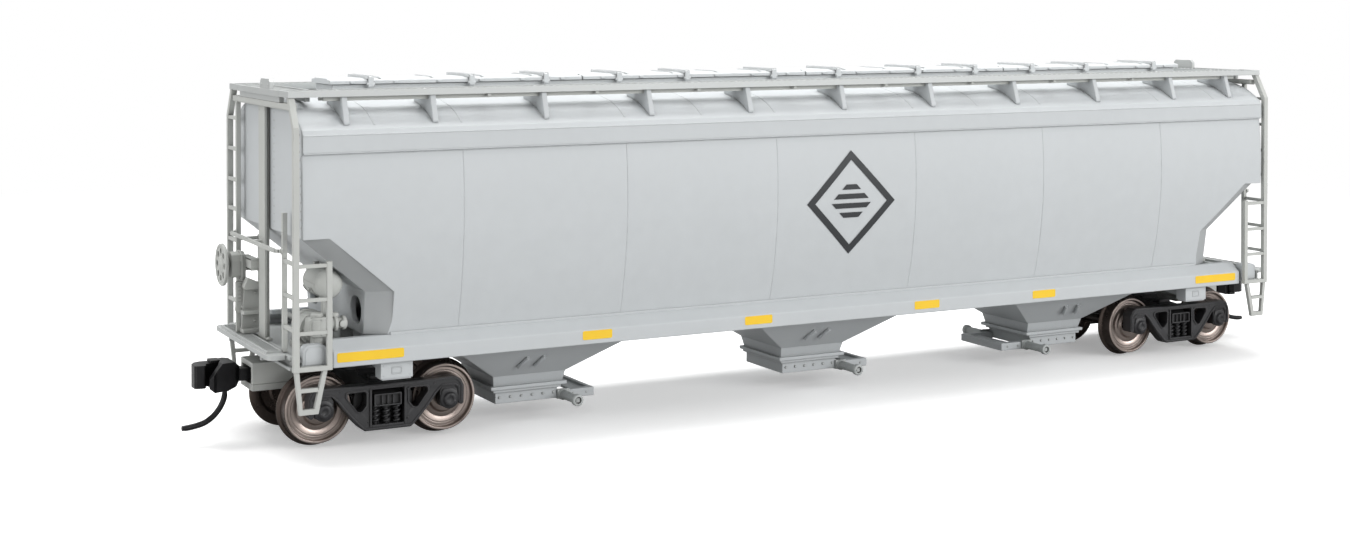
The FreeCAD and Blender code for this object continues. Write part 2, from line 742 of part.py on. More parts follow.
def end_platform(label):
    """Deck, end sill, step board and the tie-down housings behind the side ladders."""
    parts = boxes(
        ("deck", SILL_IN_X, -85.15, -16.8, 16.8, 13.9, DECK_TOP_Z),
        ("end_sill", SILL_OUT_X, SILL_IN_X, -17.0, 17.0, 12.9, 15.0),
        ("board", -100.0, SILL_OUT_X, -14.0, 14.0, BOARD_LOW_Z, BOARD_TOP_Z),
        ("board_lip", -99.6, SILL_OUT_X, -13.2, 13.2, BOARD_TOP_Z, 15.45))
    board_end_x = -98.6
    shoulder_x, shoulder_z, shoulder_rad = (-94.4, -92.56), 15.7, 0.9
    for s in SIDES:
        tie_y = span(s, 15.74, 17.5)
        parts.append(cylinder("board_end", 1.4, 0.8, board_end_x, s * 14.0, BOARD_LOW_Z))
        parts += boxes(
            ("board_root", board_end_x, SILL_OUT_X, *span(s, 14.0, 15.4),
             BOARD_LOW_Z, BOARD_TOP_Z),
            ("board_strut", -99.4, SILL_OUT_X, *span(s, 8.6, 9.4), 13.4, BOARD_LOW_Z),
            ("tie_down", -95.3, -91.66, *tie_y, 13.2, shoulder_z),
            ("tie_down_top", *shoulder_x, *tie_y, shoulder_z, shoulder_z + shoulder_rad))
        for x in shoulder_x:
            parts.append(cylinder("tie_down_shoulder", shoulder_rad, tie_y[1] - tie_y[0],
                                  x, tie_y[0], shoulder_z, "Y"))
    return fuse(label, parts)


finish_pair(end_platform, "end_platform", ENDS)


def end_post(label):
    """Centre post from the end sill to the crossover walk, a face plate with a
    narrower web behind it, and the cross tie under the walk."""
    back_x = -95.62
    post = fuse("post", boxes(
        ("post_face", -96.55, -96.15, -1.7, 1.7, POST_LOW_Z, POST_TOP_Z),
        ("post_web", -96.15, back_x, -1.15, 1.15, POST_LOW_Z, POST_TOP_Z)))
    return fuse(label, [post] + boxes(
        ("post_cap", -96.9, back_x, -15.6, 15.6, POST_TOP_Z, 52.28),
        *[("post_foot", -96.5, back_x, *span(s, 1.1, 2.7), POST_LOW_Z, 15.44)
          for s in SIDES]))


finish_pair(end_post, "end_post", ENDS)

LADDER_X = -97.1                # outermost face of the ladders
LADDER_Y = 18.8
LADDER_LOW_Z = 12.9
STILE_LOW_Z = 15.1
RUNG_HALF = 0.28
SIDE_RUNGS = (28.45, 23.43, 18.55)                  # z
LOW_END_RUNGS = (19.0, 23.8, 28.8)                  # z, on every end ladder
HIGH_END_RUNGS = (33.85, 38.6, 43.6, 48.6)          # z, on the tall ones only
# x, z of the stirrup step
STIRRUP = [(-96.9, 12.95), (-96.2, 12.95), (-95.7, 7.3), (-93.9, 7.3), (-92.6, 12.95),
           (-91.9, 12.95), (-93.3, 6.5), (-96.2, 6.5)]


def corner_ladders(label, side, tall):
    """Corner post, side ladder, end ladder and the stirrup step below."""
    post_top_z, brace_low_z, stile_top_z = (48.9, 48.2, 51.3) if tall else (46.0, 45.5, 35.9)
    end_rungs = LOW_END_RUNGS + (HIGH_END_RUNGS if tall else ())
    # x0, x1, nearest and farthest distance from the centre line, z0, z1
    bars = [
        (LADDER_X, -96.2, 18.0, LADDER_Y, LADDER_LOW_Z, post_top_z),    # corner post
        (-92.0, -91.2, 18.1, LADDER_Y, LADDER_LOW_Z, 29.0),             # side ladder stile
        (LADDER_X, -91.2, 17.82, LADDER_Y, LADDER_LOW_Z, 13.6),         # side ladder foot
        (LADDER_X, -96.4, 12.6, 13.3, STILE_LOW_Z, stile_top_z),        # end ladder stile
        (LADDER_X, -96.4, 12.6, 13.3, STILE_LOW_Z, 16.0),               # its foot
        (-96.1, -93.3, 17.9, 18.6, 9.8, 10.4),                          # stirrup cross bar
    ]
    bars += [(-96.3, -91.9, 18.3, 18.75, z - RUNG_HALF, z + RUNG_HALF) for z in SIDE_RUNGS]
    bars += [(-97.05, -96.6, 13.0, 18.3, z - RUNG_HALF, z + RUNG_HALF) for z in end_rungs]
    parts = [box("bar", x0, x1, *span(side, near, far), z0, z1)
             for x0, x1, near, far, z0, z1 in bars]
    # brace from the corner post up to the running board's corner; y, z
    brace = [(18.0, brace_low_z), (LADDER_Y, brace_low_z), (LADDER_Y, 48.9),
             (16.4, 53.15), (15.4, 53.15), (18.0, 48.5)]
    parts.append(pad("brace", "YZ_Plane", [(side * y, z) for y, z in brace], 0.9,
                     lift=LADDER_X))
    parts.append(pad("stirrup", "XZ_Plane", STIRRUP, 0.7, lift=xz_lift(side, 17.9, 18.6)))
    return fuse(label, parts)


for end, low_hand, tall_hand in (("b", "right", "left"), ("a", "left", "right")):
    name = "corner_ladders_%s_" % end
    finish(corner_ladders(name + low_hand, -1, False), turned=end == "a")
    finish(corner_ladders(name + tall_hand, 1, True), turned=end == "a")


def end_grab_irons():
    """Long horizontal grab iron across each end."""
    bar_x, bar_half, bar_z, radius = 98.0, 12.0, 30.2, 0.3
    irons = []
    for end in SIDES:
        x = end * bar_x
        irons.append(fuse("iron", [
            rod("iron_bar", (x, -bar_half, bar_z), (x, bar_half, bar_z), radius),
            rod("iron_leg", (end * 96.58, 0, bar_z), (x, 0, bar_z), radius),
            *[rod("iron_leg", (end * 97.35, s * 12.9, bar_z), (x, s * bar_half, bar_z), radius)
              for s in SIDES],
            *[cylinder("iron_elbow", radius, 0.3, x, s * bar_half, bar_z - 0.15)
              for s in SIDES]]))
    return group("end_grab_irons", irons)


finish(end_grab_irons())


# ----------------------------------- air brake equipment, all on the B end deck
def air_reservoir():
    x, mid_y, z = -90.2, -10.75, 24.9
    # radius and length of the barrel and of the two steps of its domed ends
    tank = fuse("tank", [cylinder("tank_barrel", radius, length, x, mid_y - length / 2, z, "Y")
                         for radius, length in ((2.2, 7.7), (1.9, 8.5), (1.3, 9.0))])
    strap = (x - 0.4, x + 0.4)
    straps = boxes(("tank_strap", *strap, -11.9, -11.1, DECK_TOP_Z, 23.2),
                   ("tank_hanger", *strap, -8.0, -7.2, 26.8, 27.56))
    return fuse("air_reservoir", [tank] + straps)


def control_valve():
    y, side_z = -13.6, 18.9
    return fuse("control_valve", boxes(
        ("valve_body", -93.5, -90.4, -15.0, -12.4, 17.2, 20.1),
        ("valve_foot", -92.8, -91.4, -14.6, -12.8, DECK_TOP_Z, 17.4)) + cylinders(
        ("valve_cap", 0.95, 0.7, -92.0, y, 20.1),
        ("valve_side", 0.95, 3.1, -90.5, y, side_z, "X"),
        ("valve_flange", 1.3, 0.6, -89.4, y, side_z, "X")))


def brake_cylinder():
    x, z = -90.9, 17.6
    nose = doc.addObject("Part::Cone", "cyl_nose")
    nose.Radius1 = 2.2
    nose.Radius2 = 0.9
    nose.Height = 2.4
    put(nose, x, -3.6, z, AXES["Y"])
    return fuse("brake_cylinder", cylinders(
        ("cyl_barrel", 2.3, 7.5, x, -10.8, z, "Y"),
        ("cyl_flange", 2.7, 0.6, x, -4.2, z, "Y"),
        ("cyl_rod", 0.45, 6.4, x, -1.4, z, "Y")) + [
        nose, box("cyl_foot", x - 1.0, x + 1.0, -9.6, -5.4, DECK_TOP_Z, 16.4)])


finish(air_reservoir())
finish(control_valve())
finish(brake_cylinder())


# ---------------------------------------------------------------- handbrake
def brake_housing():
    """Gear case on an arm from the end post."""
    y, z = dim.brake_y, dim.brake_z
    case_half, case_top_z = 1.6, z + 0.35
    flange_half, flange_top_z = 1.95, z + 0.15
    arm_y, arm_z = 1.74, (z - 0.6, z + 1.3)
    housing = fuse("housing", boxes(
        ("case", -99.9, -98.5, y - case_half, y + case_half, z - 2.05, case_top_z),
        ("case_flange", -98.5, -97.7, y - flange_half, y + flange_half, z - 2.4, flange_top_z),
        ("case_tail", -98.0, -97.4, y - 1.6, y + 0.6, z - 3.35, z - 2.0),
        ("case_arm", -97.75, -96.58, arm_y, y + 1.0, *arm_z),
        ("case_back", -96.58, -95.9, arm_y, 2.9, *arm_z)) + cylinders(
        ("case_top", case_half, 1.4, -99.9, y, case_top_z, "X"),
        ("case_flange_top", flange_half, 0.8, -98.5, y, flange_top_z, "X")))
    return cut("brake_housing", housing, cylinder("shaft_hole", 0.55, 3.0, -100.5, y, z, "X"))


# x, z outlines of the flat plates that stand along the car
CHAIN_GUARD = [(-99.24, 23.4), (-98.1, 23.4), (-98.07, 22.4), (-97.74, 20.7), (-97.24, 18.9),
               (-97.47, 18.33), (-98.92, 18.33), (-99.36, 18.8), (-99.25, 19.7)]
GUARD_BACK = [(-98.6, 15.46), (-95.75, 15.46), (-95.75, 22.4), (-98.1, 22.4)]
GUARD_BRACKET = [(-98.5, 22.75), (-97.9, 24.2), (-95.95, 23.3), (-95.95, 22.3), (-98.3, 22.3)]


def brake_linkage():
    base_z = 15.46
    return fuse("brake_linkage", [
        pad("chain_guard", "XZ_Plane", CHAIN_GUARD, 0.8, lift=-5.7),
        pad("guard_back", "XZ_Plane", GUARD_BACK, 0.55, lift=-4.95),
        pad("guard_bracket", "XZ_Plane", GUARD_BRACKET, 1.6, lift=-4.6),
        *boxes(("guard_ledge", -98.6, -95.75, 2.9, 5.2, 18.4, 19.0),
               ("guard_base", -98.7, -95.75, 2.9, 6.4, base_z, 16.1),
               ("guard_leg", -99.2, -98.65, 5.0, 5.6, base_z, 18.5)),
        rod("chain_rod", (-98.9, 5.3, 19.0), (-98.9, 5.3, 23.9), 0.3)])


def brake_wheel():
    """Rim, six spokes, hub and shaft."""
    x, y, z = -dim.brake_x - 0.15, dim.brake_y, dim.brake_z
    rim_rad, spoke_rad, spoke_start, spoke_end = 0.3, 0.24, 0.7, 2.95
    rim = doc.addObject("Part::Torus", "brake_rim")
    bind(rim, "Radius1", dim.brake_wheel_rad - rim_rad)
    rim.Radius2 = rim_rad
    put(rim, x, y, z, AXES["X"])
    parts = [rim] + cylinders(("brake_hub", 0.95, 1.0, -dim.brake_x - 0.5, y, z, "X"),
                              ("brake_shaft", 0.5, 2.4, -dim.brake_x + 0.1, y, z, "X"))
    for k in range(6):
        angle = math.radians(60 * k + 30)
        start, end = [(x.v, y.v + r * math.cos(angle), z.v + r * math.sin(angle))
                      for r in (spoke_start, spoke_end)]
        parts.append(rod("spoke", start, end, spoke_rad))
    return fuse("brake_wheel", parts)


finish(brake_housing())
finish(brake_linkage())
finish(brake_wheel())

# ----------------------------------------------------------------- couplers
COUPLER_BOX_OUT, COUPLER_BOX_IN, COUPLER_BOX_HALF = 99.0, 88.2, 3.3
COUPLER_BOX_LOW_Z = 8.6
SCREW_BORE = 0.6
coupler_mid_z = dim.coupler_z + 0.1         # middle of head and knuckle
HINGE_X, HINGE_Y = -103.9, 1.9              # knuckle hinge
TRIP_X, TRIP_RADIUS = -102.4, 0.38


def coupler_box(label):
    shell = ring(label + "_shell",
                 (-COUPLER_BOX_OUT, -COUPLER_BOX_IN, -COUPLER_BOX_HALF, COUPLER_BOX_HALF,
                  COUPLER_BOX_LOW_Z, 11.9),
                 (-99.5, -89.2, -2.5, 2.5, 8.0, 11.1))
    post = cylinder("cbox_post", 1.15, 2.6, -dim.pivot_x, 0, COUPLER_BOX_LOW_Z)
    bore = cylinder("cbox_bore", SCREW_BORE, 5.0, -dim.pivot_x, 0, 7.5)
    return cut(label, fuse(label + "_solid", [shell, post]), bore)


finish_pair(coupler_box, "coupler_box", ENDS)
finish(group("coupler_box_lids", [
    cut("lid", box("lid_plate", *span(s, COUPLER_BOX_IN, COUPLER_BOX_OUT),
                   -COUPLER_BOX_HALF, COUPLER_BOX_HALF, 7.6, COUPLER_BOX_LOW_Z - GAP),
        cylinder("lid_bore", SCREW_BORE, 3, s * dim.pivot_x, 0, 7))
    for s in SIDES]))

# the coupler screws go up into the draft sill, the king screws into the bolsters
screws = []
for s in SIDES:
    screws.append(fuse("box_screw", cylinders(
        ("screw_head", 1.15, 0.6, s * dim.pivot_x, 0, 6.98),
        ("screw_stem", 0.58, 5.6, s * dim.pivot_x, 0, 7.3))))
    screws.append(fuse("king_screw", cylinders(
        ("king_head", 1.7, 0.9, s * dim.truck_x, 0, 7.05),
        ("king_stem", 0.78, 5.4, s * dim.truck_x, 0, 7.9))))
finish(group("assembly_screws", screws))

# x, y outlines
HEAD_PLAN = [(-100.45, -1.2), (-101.3, -2.2), (-103.2, -2.75), (-104.4, -3.1),
             (-105.0, -3.5), (-105.5, -3.1), (-105.3, -2.2), (-103.8, -1.35),
             (-103.0, 0.2), (-103.0, 2.3), (-102.2, 2.6), (-101.0, 1.6)]
TAIL_SLOT = [(-104.6, 0.6), (-103.9, -1.7), (-103.2, -1.5), (-102.2, -1.05), (-101.5, -0.3),
             (-101.5, 0.7), (-102.3, 1.4), (-102.7, 2.2), (-103.06, 2.7), (-104.6, 2.7)]
PIN_WAY = [(-101.85, 0.55), (-101.85, -0.35), (-102.55, -1.0), (-103.2, -1.15),
           (-104.2, -1.1), (-104.2, -0.1), (-103.3, 0.2), (-102.6, 0.6)]
JAW_PLAN = [(-103.1, 0.9), (-103.06, 1.9), (-103.35, 2.5), (-104.0, 3.1), (-105.7, 3.1),
            (-106.6, 2.6), (-107.2, 1.4), (-107.2, -0.5), (-106.95, -0.9), (-105.75, -1.0),
            (-105.45, -0.7), (-105.2, 0.5), (-104.0, 0.8)]
JAW_TAIL = [(-104.3, 1.3), (-102.85, -0.35), (-102.35, -0.5), (-101.9, -0.1),
            (-101.95, 0.35), (-103.4, 2.3)]
# x, height from the coupler's middle
HEAD_SIDE = [(-105.7, -1.3), (-105.7, -0.4), (-105.1, 0.35), (-103.4, 2.15), (-101.4, 2.15),
             (-100.3, 1.2), (-100.3, -0.7), (-101.0, -1.6), (-102.5, -2.15), (-104.7, -2.15)]
# x, z of the bent part of the trip pin
TRIP_CURVE = [(TRIP_X, 7.2), (-102.53, 6.28), (-102.97, 5.21), (-103.65, 4.24),
              (-104.44, 3.48), (-105.55, 2.82), (-106.82, 2.48), (-108.0, 2.31), (-109.0, 2.28)]


def slab(label, outline, thick):
    """Flat piece of x-y outline, centred on the coupler's middle height."""
    return pad(label, "XY_Plane", outline, thick, lift=coupler_mid_z - thick / 2)


def coupler(label):
    """Swinging shank with its head; the knuckle is hinged between two ears on
    the +Y side, and its tail lies in a slot inside the head."""
    mid_z, pivot_x = coupler_mid_z, -dim.pivot_x
    shank_half, ear_half = 0.95, 0.17
    shank_low_z, shank_top_z = dim.coupler_z - shank_half, dim.coupler_z + shank_half
    eye = cylinder("eye", 2.2, 2 * shank_half, pivot_x, 0, shank_low_z)
    shank = box("shank", -101.4, pivot_x - 1.0, -1.15, 1.15, shank_low_z, shank_top_z)
    head = doc.addObject("Part::MultiCommon", label + "_head")
    head.Shapes = [slab("head", HEAD_PLAN, 4.3),
                   pad("head_side", "XZ_Plane", [(x, mid_z + rise) for x, rise in HEAD_SIDE],
                       8.0, lift=-4.0)]
    bore = cylinder("eye_bore", 1.2, 4, pivot_x, 0, dim.coupler_z - 2)
    slot = slab("tail_slot", TAIL_SLOT, 1.2)
    way = pad("pin_way", "XY_Plane", PIN_WAY, 3.0, lift=mid_z - 3.0)
    bare = cut(label + "_bare", fuse(label + "_solid", [eye, shank, head]),
               fuse(label + "_ways", [bore, slot, way]))
    pin = cylinder("pivot_pin", 0.45, 4.1, HINGE_X, HINGE_Y, mid_z - 2.05)
    ears = [box("ear", -104.42, -102.9, 0.6, 2.9,
                mid_z + s * 1.98 - ear_half, mid_z + s * 1.98 + ear_half) for s in SIDES]
    return fuse(label, [bare, pin] + ears)


def knuckle(label):
    """Jaw with a hooked nose, a hinge eye, and the short tail that the trip
    pin hangs from."""
    mid_z, thick = coupler_mid_z, 3.5
    jaw = slab("jaw", JAW_PLAN, thick)
    eye = cylinder("jaw_eye", 0.84, thick, HINGE_X, HINGE_Y, mid_z - thick / 2)
    tail = slab("jaw_tail", JAW_TAIL, 0.9)
    bore = cylinder("jaw_bore", 0.5, 4.4, HINGE_X, HINGE_Y, mid_z - 2.2)
    slot = cylinder("pin_slot", TRIP_RADIUS, 0.5, TRIP_X, 0, mid_z - 0.5)
    return cut(label, fuse(label + "_solid", [jaw, eye, tail]),
               fuse(label + "_holes", [bore, slot]))


def trip_pin(label):
    """Bent steel wire that hangs from the knuckle's tail and curves out ahead."""
    points = [V(x, 0, z) for x, z in TRIP_CURVE]
    curve = Part.BSplineCurve()
    curve.interpolate(points)
    edge = curve.toShape()
    circle = Part.Circle(points[0], edge.tangentAt(edge.FirstParameter), TRIP_RADIUS)
    tube = Part.Wire([edge]).makePipeShell([Part.Wire([circle.toShape()])], True, False)
    stem = Part.makeCylinder(TRIP_RADIUS, coupler_mid_z.v - points[0].z, points[0], V(0, 0, 1))
    wire = doc.addObject("Part::Feature", label)
    wire.Shape = tube.fuse(stem).removeSplitter()
    return wire


finish_pair(coupler, "coupler", ENDS)
finish_pair(knuckle, "knuckle", ENDS)
finish_pair(trip_pin, "trip_pin", ENDS)

# ------------------------------------------------------------------- trucks
axle_offset = dim.wheelbase / 2

# side frame, x from the truck centre and z, its -X half: top edge and bottom edge
FRAME_TOP = [(-12.45, 4.4), (-12.5, 7.4), (-12.0, 8.45), (-11.2, 8.9), (-9.6, 8.92),
             (-4.0, 8.75)]
FRAME_LOW = [(-3.7, 1.75), (-4.4, 2.3), (-5.5, 3.45), (-7.2, 5.5), (-8.0, 6.6), (-8.8, 7.45),
             (-11.1, 7.45), (-11.55, 6.9), (-11.7, 4.4)]
# window beside the spring nest; x, z
FRAME_WINDOW = [(3.4, 7.85), (6.5, 7.75), (6.45, 7.1), (4.6, 4.8), (3.5, 5.5)]
# truck bolster; y, z
BOLSTER_PROFILE = [(-12.9, 5.9), (-12.9, 7.3), (-9.0, 8.8), (-4.5, 8.9), (-4.0, 10.3),
                   (4.0, 10.3), (4.5, 8.9), (9.0, 8.8), (12.9, 7.3), (12.9, 5.9),
                   (8.8, 5.7), (5.0, 5.2), (-5.0, 5.2), (-8.8, 5.7)]


def mirrored(points):
    """The points on the +X side, running the other way."""
    return [(-x, z) for x, z in reversed(points)]


def side_frame(side):
    """Cast side frame with its bearings and the web behind the springs."""
    inner, outer = dim.frame_in, dim.frame_out
    outline = FRAME_TOP + mirrored(FRAME_TOP) + mirrored(FRAME_LOW) + FRAME_LOW
    frame = pad("side_frame", "XZ_Plane", outline, outer - inner,
                lift=xz_lift(side, inner, outer))
    for k in SIDES:
        pocket(frame, "window", "XZ_Plane", [(k * x, z) for x, z in FRAME_WINDOW],
               reverse=side < 0)
    pocket(frame, "nest", "XZ_Plane", rect(-2.6, 2.6, 2.5, 8.05), reverse=side < 0)
    parts = [frame] + boxes(
        ("nest_web", -2.8, 2.8, *span(side, inner, inner + 0.35), 2.3, 8.2),
        ("bolster_gib", -2.8, 2.8, *span(side, inner, inner + 0.9), 5.9, 7.2))
    axis = "Y" if side > 0 else "-Y"
    for k in SIDES:
        x = k * axle_offset
        parts.append(box("bearing", x - 1.5, x + 1.5, *span(side, inner, outer + 0.2),
                         5.6, 7.75))
        parts += cylinders(
            ("journal_cap", 1.62, 2.6, x, side * inner, dim.wheel_rad, axis),
            ("journal_cover", 1.25, 3.1, x, side * inner, dim.wheel_rad, axis))
    return parts


def truck_frame(label, x):
    """Side frames joined by the bolster, one moulding."""
    parts = side_frame(-1) + side_frame(1)
    parts.append(pad("truck_bolster", "YZ_Plane", BOLSTER_PROFILE, 4.2, lift=-2.1))
    holes = cylinders(("king", 0.9, 8.0, 0, 0, 4), ("king_sink", 1.9, 4.0, 0, 0, 4.0))
    for side, axis in ((-1, "-Y"), (1, "Y")):
        for k in SIDES:
            holes.append(cylinder("journal_bore", dim.journal_rad + 0.06, 1.9,
                                  k * axle_offset, side * (dim.frame_in - 0.1),
                                  dim.wheel_rad, axis))
    frame = cut(label, fuse(label + "_solid", parts), fuse(label + "_holes", holes))
    put(frame, x, 0, 0)
    return frame


def truck_springs(label, x):
    """Coil springs between the spring seats and the bolster ends."""
    pitch, y, low_z = 1.75, 11.68, 2.54
    return group(label, [cylinder("coil", 0.68, 3.22, x + k * pitch, s * y, low_z)
                         for s in SIDES for k in (-1, 0, 1)])


for end, x in (("b", -dim.truck_x), ("a", dim.truck_x)):
    finish(truck_frame("truck_frame_" + end, x))
    finish(truck_springs("truck_springs_" + end, x))


def axle(label, x):
    bar_half = dim.back_half + dim.wheel_wide + 0.1
    pin_half = dim.frame_in + 1.4
    return fuse(label, cylinders(
        ("axle_bar", dim.axle_rad, bar_half * 2, x, -bar_half, dim.wheel_rad, "Y"),
        ("axle_pin", dim.journal_rad, pin_half * 2, x, -pin_half, dim.wheel_rad, "Y")))


def wheel(side, x):
    flange, tread, bore = dim.flange_rad, dim.wheel_rad, dim.axle_rad
    back = dim.back_half
    face = back + dim.wheel_wide
    # radius, distance from the centre line
    profile = [(bore, back), (flange - 0.35, back), (flange, back + 0.3),
               (flange - 0.1, back + 0.6), (tread + 0.08, back + 0.95),
               (tread - 0.06, face - 0.1), (tread - 0.2, face), (tread - 1.0, face),
               (tread - 1.25, face - 0.7), (2.4, face - 1.1), (2.1, face - 0.1),
               (bore, face - 0.1)]
    body = doc.addObject("PartDesign::Body", "wheel")
    outline = sketch(body, "wheel_outline", "XY_Plane", [(r, side * y) for r, y in profile])
    turn = body.newObject("PartDesign::Revolution", "wheel_turn")
    turn.Profile = outline
    turn.ReferenceAxis = (origin_feature(body, "Y_Axis"), "")
    turn.Angle = 360
    body.Tip = turn
    put(body, x, 0, tread)
    return body


axle_stations = [x + k * axle_offset for x in (-dim.truck_x, dim.truck_x) for k in SIDES]
for i, x in enumerate(axle_stations, 1):
    finish(axle("axle_%d" % i, x))
    finish(group("wheels_%d" % i, [wheel(side, x) for side in SIDES]))

# ------------------------------------------------------------------- output
doc.recompute()
bad = [o.Name for o in doc.Objects if "Invalid" in o.State or "Error" in o.State]
assert not bad, bad
for piece in PIECES:
    shape = piece.Shape
    assert not shape.isNull() and shape.isValid(), piece.Label
    assert shape.Solids and shape.Volume > 0, piece.Label
os.makedirs("parts", exist_ok=True)
for piece in PIECES:
    piece.Shape.exportStep("parts/%s.step" % piece.Label)
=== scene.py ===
import bpy, bmesh, json, math, random
from mathutils import Vector, Matrix

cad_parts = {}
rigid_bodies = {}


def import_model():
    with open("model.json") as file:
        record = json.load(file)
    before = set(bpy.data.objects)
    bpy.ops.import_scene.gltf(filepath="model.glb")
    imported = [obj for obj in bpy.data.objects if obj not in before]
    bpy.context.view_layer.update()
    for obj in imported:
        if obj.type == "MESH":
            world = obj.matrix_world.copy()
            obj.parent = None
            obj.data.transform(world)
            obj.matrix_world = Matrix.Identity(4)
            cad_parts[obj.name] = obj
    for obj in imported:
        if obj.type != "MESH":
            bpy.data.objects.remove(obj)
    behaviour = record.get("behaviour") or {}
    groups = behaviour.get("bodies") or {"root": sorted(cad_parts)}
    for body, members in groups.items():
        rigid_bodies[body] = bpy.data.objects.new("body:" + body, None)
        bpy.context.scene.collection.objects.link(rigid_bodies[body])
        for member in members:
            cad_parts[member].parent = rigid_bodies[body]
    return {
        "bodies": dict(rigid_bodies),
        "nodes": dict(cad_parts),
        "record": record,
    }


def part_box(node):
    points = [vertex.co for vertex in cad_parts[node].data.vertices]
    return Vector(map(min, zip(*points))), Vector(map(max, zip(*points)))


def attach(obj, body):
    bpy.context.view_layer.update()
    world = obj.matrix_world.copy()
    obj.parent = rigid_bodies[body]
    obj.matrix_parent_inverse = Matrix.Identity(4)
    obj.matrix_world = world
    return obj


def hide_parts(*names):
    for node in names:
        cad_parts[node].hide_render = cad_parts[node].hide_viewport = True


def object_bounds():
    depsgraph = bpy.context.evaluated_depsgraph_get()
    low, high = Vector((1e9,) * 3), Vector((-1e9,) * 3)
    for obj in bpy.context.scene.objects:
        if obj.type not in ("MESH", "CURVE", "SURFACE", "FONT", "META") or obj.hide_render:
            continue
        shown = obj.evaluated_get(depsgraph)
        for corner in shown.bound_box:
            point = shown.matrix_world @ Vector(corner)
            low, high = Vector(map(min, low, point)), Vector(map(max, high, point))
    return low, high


# Covered hopper model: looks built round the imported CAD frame.
# Meshes are built in millimetres and scaled to metres at the end.

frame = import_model()
cad_lo, cad_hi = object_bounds()
NODES = frame["nodes"]
random.seed(7)
MM = 0.001
scene = bpy.context.scene


def nb(node):
    """A CAD node's box in millimetres: x0, x1, y0, y1, z0, z1."""
    lo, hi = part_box(node)
    return [lo.x * 1e3, hi.x * 1e3, lo.y * 1e3, hi.y * 1e3, lo.z * 1e3, hi.z * 1e3]


# ---------------------------------------------------------------- materials
def lin(c):
    """sRGB 0-255 to linear."""
    out = []
    for v in c:
        v = v / 255.0
        out.append(v / 12.92 if v <= 0.04045 else ((v + 0.055) / 1.055) ** 2.4)
    return (out[0], out[1], out[2], 1.0)


